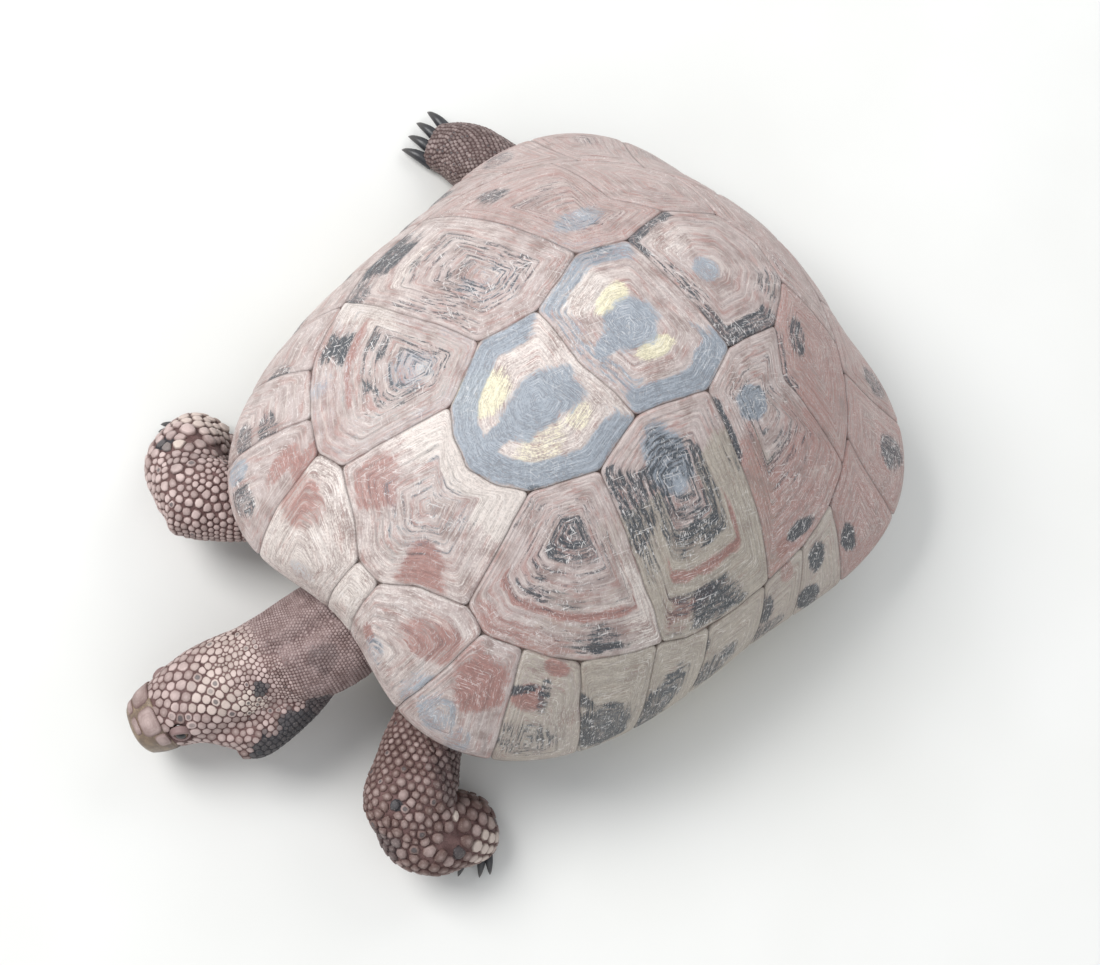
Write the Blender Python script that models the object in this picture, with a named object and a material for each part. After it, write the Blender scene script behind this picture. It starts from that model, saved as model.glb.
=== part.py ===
"""A tortoise with a domed shell, standing still with its head lowered to graze.

Row frame: metres, +Z up, the floor at z = 0.  The animal faces -Y and its left side is +X.

The upper shell is one smooth dome.  A place on it is a pair (a, b) in a unit disc: a runs to the
left, b to the rear, and the disc's edge is the shell's rim.  The plates are cells of that disc.
Limbs, neck, head and tail are lofts along short centre lines, and they meet the trunk at a thin gap.
"""

import math

import bmesh
import bpy
import numpy as np
from mathutils import Matrix, Vector
from mathutils.bvhtree import BVHTree

OBJECT_NAME = "tortoise"
MM = 0.001

# ---- driving dimensions of the shell ----
SHELL_LENGTH = 0.210
SHELL_WIDTH = 0.1822
SHELL_TOP = 0.1172
RIM_SIDE, RIM_FRONT, RIM_REAR = 0.0262, 0.0507, 0.0324
REAR_WIDENING = 0.0455
CORNER_FRONT, CORNER_REAR = 0.0951, -0.0317
FULLNESS_CROWN = 0.285
FULLNESS_SIDE, FULLNESS_FRONT, FULLNESS_REAR = 0.436, 0.236, 0.065
STEEP_SIDE, STEEP_FRONT, STEEP_REAR = 0.785, 0.860, 0.857
FLARE_SIDE, FLARE_FRONT, FLARE_REAR, FLARE_QUARTER = 0.0017, 0.0034, 0.0018, 0.0254
FLARE_POWER = 8.0
NECK_NOTCH = 0.0129
NECK_NOTCH_WIDTH = 0.35
CROWN_SHIFT = 0.0098

# ---- plates ----
PLATE_THICKNESS = 2.2 * MM
PLATE_CROWN = 0.5 * MM
SEAM_GAP = 0.5 * MM
LARGE_STEP = 0.095
RIM_STEP = 0.125

# ---- trunk and lower shell ----
BED_GAP = 1.1 * MM
EDGE_GAP = 1.2 * MM
BELLY_HEIGHT = 0.0125
BELLY_THICKNESS = 0.0035
BRIDGE_RISE = 0.0125
BRIDGE_HALF_WIDTH = 0.080
JOINT_GAP = 0.35 * MM

# Where the shell's own centre stands in the row frame, whose origin is at the middle of the
# whole animal's footprint.
SHELL_PLACE = Vector((0.018459, 0.028928, 0.0))

HEAD_LENGTH = 0.047
EYE_RADIUS = 0.0040


# =============================== the shell's dome ===============================

def by_side(ca, cb, side, front, rear):
    """Blend three values by the direction (ca, cb): side by ca^2, front and rear by cb^2."""
    return side * ca ** 2 + np.where(cb < 0.0, front, rear) * cb ** 2


def dome(a, b):
    """Point on the shell over the disc place (a, b), as an array of x, y, z.

    With s the distance from the disc's centre, the reach to the rim is
    sin(pi s / 2) (1 - K cos^2(pi s / 2)) and the rise over the rim is cos(pi s / 2)^Q.
    K and Q change with the direction, and a flare F s^8 pushes the rim outward.
    """
    a, b = np.broadcast_arrays(np.asarray(a, float), np.asarray(b, float))
    s = np.hypot(a, b) + 1e-9
    ca, cb = a / s, b / s
    s = np.clip(s, 1e-6, 1.0)
    quarter = 4.0 * ca ** 2 * cb ** 2
    is_front = cb < 0.0
    sine, cosine = np.sin(s * np.pi / 2), np.cos(s * np.pi / 2)
    fullness = by_side(ca, cb, FULLNESS_SIDE, FULLNESS_FRONT, FULLNESS_REAR)
    fullness = FULLNESS_CROWN + s ** 2 * (fullness - FULLNESS_CROWN)
    corner = np.where(is_front, CORNER_FRONT, CORNER_REAR) * quarter
    reach = sine * (1.0 - fullness * cosine ** 2) * (1.0 + corner * s ** 2)
    rise = cosine ** by_side(ca, cb, STEEP_SIDE, STEEP_FRONT, STEEP_REAR)
    flare = by_side(ca, cb, FLARE_SIDE, FLARE_FRONT, FLARE_REAR)
    flare = (flare + np.where(is_front, 0.0, FLARE_QUARTER) * quarter) * s ** FLARE_POWER
    y = cb * (reach * SHELL_LENGTH / 2 + flare)
    x = ca * (reach * SHELL_WIDTH / 2 + flare) * (1.0 + REAR_WIDENING * y / (SHELL_LENGTH / 2))
    notch = NECK_NOTCH * np.exp(-(ca / NECK_NOTCH_WIDTH) ** 2) * is_front * s ** 4
    rim = by_side(ca, cb, RIM_SIDE, RIM_FRONT, RIM_REAR)
    z = rim + rise * (SHELL_TOP - rim)
    return np.stack([x, y + notch + CROWN_SHIFT * rise, z], axis=-1)


def dome_normal(a, b):
    """Outward unit normal of the dome by central differences, taken just inside the rim."""
    a, b = np.broadcast_arrays(np.asarray(a, float), np.asarray(b, float))
    keep = np.minimum(1.0, 0.985 / np.maximum(np.hypot(a, b), 1e-9))
    a, b = a * keep, b * keep
    step = 0.006
    along_a = dome(a + step, b) - dome(a - step, b)
    along_b = dome(a, b + step) - dome(a, b - step)
    normal = np.cross(along_a, along_b)
    return normal / np.linalg.norm(normal, axis=-1, keepdims=True)


# =============================== layout of the plates ===============================
# Corner places on the left half of the disc, from the nose end to the tail end.

NOSE_LINE = [(0.0, -0.742), (0.045, -0.735), (0.140, -0.656), (0.270, -0.583)]
SEAM_12 = [(0.0, -0.421), (0.107, -0.391), (0.171, -0.350)]
SEAM_23 = [(0.0, -0.074), (0.220, -0.044)]
SEAM_34 = [(0.0, 0.285), (0.218, 0.291)]
SEAM_45 = [(0.0, 0.603), (0.131, 0.580)]
WING_2, WING_3, WING_4 = (0.261, -0.197), (0.284, 0.163), (0.227, 0.451)
COSTAL_ENDS = {1: 70.7, 2: 97.0, 3: 126.0, 4: 152.0}
COSTAL_BEND_3 = (0.366, 0.385)

# Distance of the line between costal and marginal plates from the disc's centre, by heading
# in degrees from the nose.
MARGIN_LINE = ((0, 0.742), (12, 0.672), (25, 0.644), (31, 0.685), (41, 0.697), (53, 0.730),
               (70, 0.755), (81, 0.795), (97, 0.803), (117, 0.815), (130, 0.795), (152, 0.755),
               (180, 0.750))
# Headings of the seams between marginal plates: at the margin line and at the rim.
MARGINAL_SEAMS = ((3, 3.5), (31, 21), (40.5, 41.5), (53, 56.5), (69.5, 67), (81.5, 79),
                  (96, 93.5), (107, 103), (118, 113), (132, 127), (146, 143), (163, 162),
                  (180, 180))

VERTEBRAL_HEARTS = {1: (0, -0.528), 2: (0, -0.210), 3: (0, 0.100), 4: (0, 0.395), 5: (0, 0.675)}
COSTAL_HEARTS = {1: (0.317, -0.315), 2: (0.409, -0.043), 3: (0.369, 0.267), 4: (0.320, 0.520)}


def margin_place(heading):
    """Disc place on the costal and marginal line at a heading in degrees from the nose."""
    stations = np.array(MARGIN_LINE)
    distance = np.interp(heading, stations[:, 0], stations[:, 1])
    angle = math.radians(heading)
    return (distance * math.sin(angle), -distance * math.cos(angle))


def rim_place(heading):
    """Disc place on the rim at a heading in degrees from the nose."""
    angle = math.radians(heading)
    return (math.sin(angle), -math.cos(angle))


def margin_run(start, end, count):
    """Places along the margin line between two headings."""
    return [margin_place(h) for h in np.linspace(start, end, count)]


def mirrored(places):
    """The same places on the animal's right side, in reverse order."""
    return [(-a, b) for a, b in reversed(places)]


def vertebral_outline(number):
    """Closed outline of a vertebral plate, from its front middle round by the left."""
    fronts = {1: NOSE_LINE, 2: SEAM_12, 3: SEAM_23, 4: SEAM_34, 5: SEAM_45}
    wings = {1: [], 2: [WING_2], 3: [WING_3], 4: [WING_4], 5: []}
    if number == 5:
        back = margin_run(COSTAL_ENDS[4], 180.0, 4)
    else:
        back = list(reversed(fronts[number + 1]))
    left = fronts[number] + wings[number] + back
    return left + mirrored(left)[1:-1]


def costal_outline(number):
    """Closed outline of a left costal plate."""
    if number == 1:
        spine = [SEAM_12[-1], NOSE_LINE[-1]]
        low = margin_run(MARGINAL_SEAMS[1][0], COSTAL_ENDS[1], 6)
        return spine + low + [WING_2]
    if number == 2:
        return [WING_2] + margin_run(COSTAL_ENDS[1], COSTAL_ENDS[2], 4) + [WING_3, SEAM_23[-1]]
    if number == 3:
        low = margin_run(COSTAL_ENDS[2], COSTAL_ENDS[3], 4)
        return [WING_3] + low + [COSTAL_BEND_3, WING_4, SEAM_34[-1]]
    low = margin_run(COSTAL_ENDS[3], COSTAL_ENDS[4], 4)
    return [WING_4, COSTAL_BEND_3] + low + [SEAM_45[-1]]


def marginal_outline(number):
    """Closed outline of a left marginal plate; number 12 is the left tail plate."""
    (in_1, out_1), (in_2, out_2) = MARGINAL_SEAMS[number - 1:number + 1]
    rim = [rim_place(h) for h in np.linspace(out_2, out_1, 4)]
    if number == 1:
        return [*NOSE_LINE[1:], margin_place(in_2)] + rim
    return margin_run(in_1, in_2, 3) + rim


def nuchal_outline():
    """Closed outline of the narrow plate over the neck."""
    left = [*NOSE_LINE[:2], rim_place(MARGINAL_SEAMS[0][1]), rim_place(0.0)]
    return left + mirrored(left)[1:-1]


def divided(outline, step):
    """Outline with every side cut into runs of about one step."""
    places = []
    for (a1, b1), (a2, b2) in zip(outline, outline[1:] + outline[:1]):
        runs = max(1, round(math.hypot(a2 - a1, b2 - b1) / step))
        for t in np.arange(runs) / runs:
            places.append((a1 + t * (a2 - a1), b1 + t * (b2 - b1)))
    return np.array(places)


# =============================== mesh helpers ===============================

def new_collection(name):
    """A collection under the scene."""
    collection = bpy.data.collections.new(name)
    bpy.context.scene.collection.children.link(collection)
    return collection


def new_material(name, colour, roughness):
    """A plain Principled material."""
    material = bpy.data.materials.new(name)
    material.use_nodes = True
    shader = material.node_tree.nodes["Principled BSDF"]
    shader.inputs["Base Color"].default_value = (*colour, 1.0)
    shader.inputs["Roughness"].default_value = roughness
    material.diffuse_color = (*colour, 1.0)
    return material


def new_solid(name, vertices, faces, material, collection):
    """A closed mesh object with outward faces."""
    mesh = bpy.data.meshes.new(name)
    mesh.from_pydata([tuple(map(float, v)) for v in vertices], [], faces)
    work = bmesh.new()
    work.from_mesh(mesh)
    bmesh.ops.triangulate(work, faces=work.faces[:])
    bmesh.ops.recalc_face_normals(work, faces=work.faces)
    work.to_mesh(mesh)
    work.free()
    solid = bpy.data.objects.new(name, mesh)
    if material is not None:
        mesh.materials.append(material)
    collection.objects.link(solid)
    return solid


def ring_faces(first, second, count):
    """Quads between two rings of the same count, given by their first vertex indices."""
    faces = []
    for j in range(count):
        k = (j + 1) % count
        faces.append((first + j, first + k, second + k, second + j))
    return faces


def fan_faces(centre, ring, count):
    """Triangles from a centre vertex to a ring."""
    return [(centre, ring + j, ring + (j + 1) % count) for j in range(count)]


def stacked_solid(name, rings, start, end, material, collection):
    """A closed solid from rings of equal count, with a centre vertex at each end."""
    count = len(rings[0])
    vertices = [p for ring in rings for p in ring] + [start, end]
    faces = []
    for i in range(len(rings) - 1):
        faces += ring_faces(i * count, (i + 1) * count, count)
    faces += fan_faces(len(rings) * count, 0, count)
    faces += fan_faces(len(rings) * count + 1, (len(rings) - 1) * count, count)
    return new_solid(name, vertices, faces, material, collection)


# =============================== plates ===============================

def plate_solid(name, outline, heart, step, fractions, material, collection):
    """A curved plate on the dome: rings from its heart to its outline, above and below."""
    places = divided(outline, step)
    heart = np.array(heart, float)
    size = np.linalg.norm(dome(*places.T) - dome(*heart), axis=-1)
    places = heart + (places - heart) * (1.0 - SEAM_GAP / 2 / size)[:, None]
    top, bottom = [], []
    for fraction in fractions:
        ring = heart + fraction * (places - heart)
        point, normal = dome(*ring.T), dome_normal(*ring.T)
        crown = PLATE_CROWN * (1.0 - fraction ** 2)
        top.append(point + normal * crown)
        bottom.append(point - normal * PLATE_THICKNESS)
    point, normal = dome(*heart), dome_normal(*heart)
    rings = top + bottom[::-1]
    centre_top = point + normal * PLATE_CROWN
    centre_bottom = point - normal * PLATE_THICKNESS
    return stacked_solid(name, rings, centre_top, centre_bottom, material, collection)


def build_plates(material, collection):
    """All plates of the upper shell."""
    fine = (0.36, 0.70, 1.0)
    plain = (0.5, 1.0)
    for number, heart in VERTEBRAL_HEARTS.items():
        outline = vertebral_outline(number)
        name = f"vertebral_{number}"
        plate_solid(name, outline, heart, LARGE_STEP, fine, material, collection)
    for number, heart in COSTAL_HEARTS.items():
        outline = costal_outline(number)
        for side, sign in (("left", 1), ("right", -1)):
            turned = outline if sign > 0 else mirrored(outline)
            name = f"costal_{side}_{number}"
            place = (sign * heart[0], heart[1])
            plate_solid(name, turned, place, LARGE_STEP, fine, material, collection)
    middle = nuchal_outline()
    plate_solid("nuchal", middle, (0.0, -0.86), RIM_STEP, plain, material, collection)
    for number in range(1, 13):
        outline = marginal_outline(number)
        heart = np.array(outline).mean(axis=0)
        for side, sign in (("left", 1), ("right", -1)):
            turned = outline if sign > 0 else mirrored(outline)
            name = f"marginal_{side}_{number}" if number < 12 else f"supracaudal_{side}"
            place = (sign * heart[0], heart[1])
            plate_solid(name, turned, place, RIM_STEP, plain, material, collection)


# =============================== trunk and lower shell ===============================

def bridge_share(y):
    """Share of the bridge's rise at a place along the body: 1 amidships, 0 at the limbs."""
    return 1.0 / (1.0 + (np.abs(y - 0.002) / 0.047) ** 8)


def belly(x, y):
    """Height of the lower shell's underside: flat, lifted at the bridges and at the throat."""
    rise = BRIDGE_RISE * bridge_share(y) * (np.abs(x) / BRIDGE_HALF_WIDTH) ** 4
    throat = 0.008 * np.clip((-y - 0.045) / 0.045, 0.0, None) ** 2
    return BELLY_HEIGHT + rise + throat


def lower_half_width(y):
    """Half width of the lower shell at y: throat plates, lobe, bridge, lobe and tail plates."""
    stations = ((-0.083, 0.020), (-0.078, 0.030), (-0.062, 0.041), (-0.048, 0.052),
                (-0.038, 0.077), (-0.020, 0.0870), (0.005, 0.0885), (0.030, 0.0885),
                (0.044, 0.078), (0.054, 0.056), (0.070, 0.047), (0.083, 0.034), (0.090, 0.022))
    ys, widths = np.array(stations).T
    return np.interp(y, ys, widths)


def build_plastron(material, collection):
    """The lower shell: one plate whose bridges rise to the rim, with a notch under the tail."""
    across = np.linspace(-1.0, 1.0, 11)
    ys = np.array([-0.083, -0.078, -0.062, -0.048, -0.038, -0.020, 0.005, 0.030, 0.044, 0.054,
                   0.070, 0.083, 0.090])
    rows = []
    for y in ys:
        x = across * lower_half_width(y)
        tail_notch = 0.012 * np.clip((y - 0.070) / 0.020, 0.0, 1.0) * (1.0 - np.abs(across))
        throat_notch = 0.004 * np.clip((-y - 0.078) / 0.005, 0.0, 1.0) * (1.0 - np.abs(across))
        along = y - tail_notch + throat_notch
        low = belly(x, along)
        side = np.clip(np.abs(across) - 0.8, 0.0, None) / 0.2
        low = low + 0.0010 * side
        high = low + BELLY_THICKNESS - 0.0022 * side
        rows.append(np.concatenate([np.stack([x, along, low], 1),
                                    np.stack([x, along, high], 1)[::-1]]))
    first, last = rows[0].mean(axis=0), rows[-1].mean(axis=0)
    return stacked_solid("plastron", rows, first, last, material, collection)


def build_trunk(material, collection):
    """The body inside the shell: a cap under the plates, walls at the openings, a flat belly."""
    headings = np.radians(np.arange(0.0, 360.0, 10.0))
    sine, cosine = np.sin(headings), -np.cos(headings)
    rings = []
    for s in (0.18, 0.36, 0.54, 0.70, 0.82, 0.91):
        point = dome(s * sine, s * cosine)
        normal = dome_normal(s * sine, s * cosine)
        rings.append(point - normal * (PLATE_THICKNESS + BED_GAP + EDGE_GAP * s ** 8))
    edge = rings[-1]
    opening = cosine ** 2
    for side, end, share in ((0.955, 0.90, 0.55), (0.90, 0.81, 0.12), (0.80, 0.72, 0.0)):
        factor = side + (end - side) * opening
        place = edge[:, :2] * factor[:, None]
        floor = belly(place[:, 0], place[:, 1]) + BELLY_THICKNESS + BED_GAP
        height = floor + (edge[:, 2] - floor) * share
        rings.append(np.concatenate([place, height[:, None]], axis=1))
    place = edge[:, :2] * 0.40
    floor = belly(place[:, 0], place[:, 1]) + BELLY_THICKNESS + BED_GAP
    rings.append(np.concatenate([place, floor[:, None]], axis=1))
    top = dome(0.0, 0.0) - dome_normal(0.0, 0.0) * (PLATE_THICKNESS + BED_GAP)
    bottom = np.array([0.0, 0.0, BELLY_HEIGHT + BELLY_THICKNESS + BED_GAP])
    return stacked_solid("trunk", rings, top, bottom, material, collection)


# =============================== lofts ===============================

def smooth_path(points, count):
    """Places along a curve through the given points (Catmull-Rom), at equal parameters."""
    points = np.array(points, float)
    padded = np.concatenate([2 * points[:1] - points[1:2], points, 2 * points[-1:] - points[-2:-1]])
    t = np.linspace(0.0, len(points) - 1, count)
    i = np.minimum(t.astype(int), len(points) - 2)
    f = (t - i)[:, None]
    p0, p1, p2, p3 = (padded[i + k] for k in range(4))
    return 0.5 * (2 * p1 + (p2 - p0) * f + (2 * p0 - 5 * p1 + 4 * p2 - p3) * f ** 2
                  + (3 * p1 - p0 - 3 * p2 + p3) * f ** 3)


def loft_rings(path, widths, heights, up, around, floor=None):
    """Oval rings square to a path; up is the side of each oval that its height follows."""
    tangent = np.gradient(path, axis=0)
    tangent /= np.linalg.norm(tangent, axis=1, keepdims=True)
    side = np.cross(tangent, np.array(up, float))
    side /= np.linalg.norm(side, axis=1, keepdims=True)
    above = np.cross(side, tangent)
    angle = np.linspace(0.0, 2 * np.pi, around, endpoint=False)
    rings = (path[:, None] + (widths[:, None] * np.cos(angle))[..., None] * side[:, None]
             + (heights[:, None] * np.sin(angle))[..., None] * above[:, None])
    if floor is not None:
        rings[..., 2] = np.maximum(rings[..., 2], floor)
    return rings


class Limb:
    """A leg in two lengths that meet at the elbow or knee.

    Each length is a list of (x, y, z, half width, half depth) stations.  The upper one ends in
    a round joint, and the lower one starts inside that joint.
    """

    def __init__(self, name, upper, lower, toes):
        self.name = name
        self.upper = upper
        self.lower = lower
        self.toes = toes


LEFT_FORELEG = Limb(
    "foreleg_left",
    [(0.034, -0.058, 0.028, 0.0125, 0.0110), (0.0415, -0.090, 0.0262, 0.0128, 0.0105),
     (0.0535, -0.1100, 0.0255, 0.0150, 0.0135)],
    [(0.0560, -0.1120, 0.0245, 0.0130, 0.0120), (0.0655, -0.1147, 0.0190, 0.0150, 0.0125),
     (0.0725, -0.1050, 0.0110, 0.0130, 0.0110), (0.0745, -0.0990, 0.0044, 0.0120, 0.0080)],
    {"count": 5, "aim": (0.50, -0.87), "length": 0.0070, "spread": 0.45, "row": 0.0080})
RIGHT_FORELEG = Limb(
    "foreleg_right",
    [(-0.038, -0.056, 0.028, 0.0125, 0.0110), (-0.052, -0.084, 0.0262, 0.0125, 0.0105),
     (-0.0655, -0.0965, 0.0250, 0.0145, 0.0135)],
    [(-0.0710, -0.0972, 0.0240, 0.0125, 0.0118), (-0.0800, -0.0938, 0.0185, 0.0142, 0.0125),
     (-0.0855, -0.0862, 0.0115, 0.0130, 0.0115), (-0.0878, -0.0785, 0.0047, 0.0122, 0.0084)],
    {"count": 5, "aim": (-0.55, -0.84), "length": 0.0070, "spread": 0.42, "row": 0.0076})
LEFT_HIND_LEG = Limb(
    "hind_leg_left",
    [(0.034, 0.052, 0.030, 0.0130, 0.0125), (0.050, 0.066, 0.0265, 0.0135, 0.0125),
     (0.0610, 0.0740, 0.0215, 0.0130, 0.0122)],
    [(0.0620, 0.0750, 0.0205, 0.0118, 0.0112), (0.0690, 0.0800, 0.0130, 0.0120, 0.0110),
     (0.0725, 0.0830, 0.0080, 0.0115, 0.0095), (0.0755, 0.0865, 0.0040, 0.0095, 0.0060)],
    {"count": 4, "aim": (0.55, 0.84), "length": 0.0085, "spread": 0.50, "row": 0.0072})
RIGHT_HIND_LEG = Limb(
    "hind_leg_right",
    [(-0.034, 0.054, 0.031, 0.0130, 0.0120), (-0.058, 0.062, 0.0240, 0.0125, 0.0110),
     (-0.0800, 0.0642, 0.0145, 0.0112, 0.0098)],
    [(-0.0820, 0.0645, 0.0130, 0.0105, 0.0092), (-0.0965, 0.0655, 0.0102, 0.0105, 0.0098),
     (-0.1115, 0.0660, 0.0068, 0.0100, 0.0088), (-0.1225, 0.0655, 0.0040, 0.0088, 0.0060)],
    {"count": 4, "aim": (-0.98, -0.18), "length": 0.0125, "spread": 0.40, "row": 0.0062})
LIMBS = (LEFT_FORELEG, RIGHT_FORELEG, LEFT_HIND_LEG, RIGHT_HIND_LEG)


def claw_solid(name, root, aim, length, thickness, collection):
    """A curved cone that points along aim and drops to the floor at its tip."""
    aim = Vector((aim[0], aim[1], 0.0)).normalized()
    path = np.array([root - aim * 0.004, root + aim * length * 0.45 + Vector((0, 0, 0.0004)),
                     root + aim * length * 0.9 - Vector((0, 0, 0.0016))])
    sizes = np.array([1.15, 0.85, 0.35]) * thickness
    rings = loft_rings(path, sizes, sizes * 0.9, (0, 0, 1), 6, floor=0.0003)
    tip = np.array(root + aim * length - Vector((0, 0, 0.0019)))
    tip[2] = max(tip[2], 0.0004)
    return stacked_solid(name, list(rings), np.array(root - aim * 0.0045), tip, None, collection)


def root_in_skin(tree, centre, aside, aim):
    """Place 0.8 mm inside the skin, found along aim from a start inside the foot."""
    for share in (1.0, 0.8, 0.6, 0.4, 0.2, 0.0):
        hit, normal, _, _ = tree.ray_cast(centre + aside * share, aim)
        if hit is not None and normal.dot(aim) > 0.0:
            return hit - aim * 0.0008
    return centre + aside * 0.5


def toe_roots(limb, foot):
    """Root and heading of each claw: a row across the foot, each root just inside its skin."""
    toes = limb.toes
    x, y, _, _, _ = limb.lower[-1]
    centre = Vector((x, y, 0.0034))
    heading = math.atan2(toes["aim"][1], toes["aim"][0])
    across = Vector((-math.sin(heading), math.cos(heading), 0.0))
    tree = BVHTree.FromPolygons([v.co for v in foot.data.vertices],
                                [tuple(f.vertices) for f in foot.data.polygons])
    roots = []
    for k in range(toes["count"]):
        u = 2.0 * k / (toes["count"] - 1) - 1.0
        turn = heading + u * toes["spread"]
        aim = Vector((math.cos(turn), math.sin(turn), 0.0))
        root = root_in_skin(tree, centre, across * (u * toes["row"]), aim)
        roots.append((root, aim))
    return roots


def limb_rings(stations, count):
    """Path and oval rings of one length of a leg, flattened where it meets the floor."""
    table = np.array(stations)
    path = smooth_path(table[:, :3], count)
    at = np.linspace(0.0, len(table) - 1, count)
    widths = np.interp(at, np.arange(len(table)), table[:, 3])
    depths = np.interp(at, np.arange(len(table)), table[:, 4])
    return path, loft_rings(path, widths, depths, (0, 0, 1), 12, floor=0.0), widths


def cut_gap(solid, cutter, name):
    """Take a cutter away from a solid."""
    boolean = solid.modifiers.new(name, "BOOLEAN")
    boolean.operation = "DIFFERENCE"
    boolean.object = cutter


def build_limb(limb, skin, collection, cutters, shell_cutters):
    """Upper and lower part of a leg, with a thin gap between them and at the shell."""
    path, rings, widths = limb_rings(limb.upper, 5)
    along = path[-1] - path[-2]
    along /= np.linalg.norm(along)
    rounded = [path[-1] + along * widths[-1] * math.sin(t)
               + (rings[-1] - path[-1]) * math.cos(t) for t in (math.radians(35), math.radians(65))]
    end = path[-1] + along * widths[-1]
    upper_name = limb.name + "_upper"
    upper = stacked_solid(upper_name, list(rings) + rounded, path[0], end, skin, collection)
    joint_cutter = widened_copy(upper, JOINT_GAP, upper_name + "_cutter", cutters)
    for k, cutter in enumerate(shell_cutters):
        cut_gap(upper, cutter, f"shell_gap_{k + 1}")

    path, rings, widths = limb_rings(limb.lower, 6)
    end = path[-1] + (path[-1] - path[-2]) * 0.15
    end[2] = max(end[2], 0.0015)
    foot = stacked_solid(limb.name + "_foot", list(rings), path[0], end, skin, collection)
    cut_gap(foot, joint_cutter, "joint_gap")
    for k, (root, aim) in enumerate(toe_roots(limb, foot)):
        claw = claw_solid(f"{limb.name}_claw_{k + 1}", root, aim, limb.toes["length"], 0.0018, cutters)
        join = foot.modifiers.new(f"claw_{k + 1}", "BOOLEAN")
        join.operation = "UNION"
        join.object = claw
    return upper, foot


# =============================== neck, head and tail ===============================

HEAD_JOINT = Vector((-0.0090, -0.1215, 0.0300))
HEAD_YAW, HEAD_PITCH, HEAD_ROLL = math.radians(17.0), math.radians(17.0), math.radians(18.0)

# Half width, height over and depth under the head's axis, from the neck to the snout.
HEAD_STATIONS = ((0.00, 0.0150, 0.0118, 0.0130), (0.10, 0.0158, 0.0127, 0.0140),
                 (0.25, 0.0164, 0.0134, 0.0142), (0.42, 0.0160, 0.0137, 0.0130),
                 (0.58, 0.0144, 0.0133, 0.0120), (0.735, 0.0119, 0.0119, 0.0114))
BEAK_STATIONS = ((0.743, 0.0119, 0.0119, 0.0114), (0.85, 0.0108, 0.0104, 0.0110),
                 (0.94, 0.0090, 0.0084, 0.0102), (0.99, 0.0063, 0.0060, 0.0088))
# Loose skin under the left cheek, on the inside of the neck's bend, at the first stations.
THROAT_SKIN = (0.42, 0.62, 0.66, 0.34, 0.0, 0.0)
MOUTH_DROP = 0.0040
EYE_PLACE = (0.630, 0.0106, 0.0048)


def head_frame():
    """Matrix from the head's own frame (x forward, y left, z up) to the row frame."""
    aim = Matrix.Rotation(-math.pi / 2 - HEAD_YAW, 4, "Z")
    pitch = Matrix.Rotation(HEAD_PITCH, 4, "Y")
    roll = Matrix.Rotation(HEAD_ROLL, 4, "X")
    return Matrix.Translation(HEAD_JOINT) @ aim @ pitch @ roll


def head_ring(station, around, part="whole", loose=0.0):
    """Oval ring of the head; part keeps the side of the mouth line over or under it.

    loose swells the lower left of the ring by that share of its size.
    """
    t, half, over, under = station
    angle = np.linspace(0.0, 2 * np.pi, around, endpoint=False)
    if part == "upper":
        low = math.asin(min(0.9, MOUTH_DROP / under))
        angle = np.linspace(-low, math.pi + low, around)
    if part == "lower":
        low = math.asin(min(0.9, (MOUTH_DROP + JOINT_GAP) / under))
        angle = np.linspace(math.pi + low, 2 * math.pi - low, around)
    sine, cosine = np.sin(angle), np.cos(angle)
    y = half * np.sign(cosine) * np.abs(cosine) ** 0.85
    z = np.where(sine > 0, over, under) * np.sign(sine) * np.abs(sine) ** 0.9
    if part == "upper":
        z = np.maximum(z, -MOUTH_DROP)
    if part == "lower":
        z = np.minimum(z, -MOUTH_DROP - JOINT_GAP)
    swell = 1.0 + loose * np.exp(-((angle - math.radians(322.0)) / 0.75) ** 2)
    return np.stack([np.full(len(y), t * HEAD_LENGTH), y * swell, z * swell], axis=1)


def placed(points, matrix):
    """Points turned and moved by a matrix."""
    turn = np.array(matrix)
    return np.asarray(points) @ turn[:3, :3].T + turn[:3, 3]


def ball(name, centre, radius, segments, rings, material, collection):
    """A round ball."""
    mesh = bpy.data.meshes.new(name)
    work = bmesh.new()
    bmesh.ops.create_uvsphere(work, u_segments=segments, v_segments=rings, radius=radius)
    bmesh.ops.translate(work, verts=work.verts, vec=centre)
    work.to_mesh(mesh)
    work.free()
    solid = bpy.data.objects.new(name, mesh)
    if material is not None:
        mesh.materials.append(material)
    collection.objects.link(solid)
    return solid


def build_head(skin, horn, glass, collection, cutters):
    """Head, both halves of the beak and the eyes in their sockets."""
    frame = head_frame()
    rings = [placed(head_ring(s, 16, loose=k), frame) for s, k in zip(HEAD_STATIONS, THROAT_SKIN)]
    start = placed([[0.0, 0.0, 0.0]], frame)[0]
    end = placed([[HEAD_STATIONS[-1][0] * HEAD_LENGTH, 0.0, 0.0]], frame)[0]
    head = stacked_solid("head", rings, start, end, skin, collection)
    for name, part in (("beak_upper", "upper"), ("beak_lower", "lower")):
        rings = [placed(head_ring(s, 11, part), frame) for s in BEAK_STATIONS]
        start, end = rings[0].mean(axis=0), rings[-1].mean(axis=0)
        forward = np.array(frame)[:3, 0]
        stacked_solid(name, rings, start, end + forward * 0.0008, horn, collection)
    for side, sign in (("left", 1), ("right", -1)):
        t, out, up = EYE_PLACE
        centre = Vector(placed([[t * HEAD_LENGTH, sign * out, up]], frame)[0])
        ball(f"eye_{side}", centre, EYE_RADIUS, 10, 7, glass, collection)
        socket = ball(f"socket_{side}", centre, EYE_RADIUS + JOINT_GAP, 10, 7, None, cutters)
        cut_gap(head, socket, f"socket_{side}")


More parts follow.
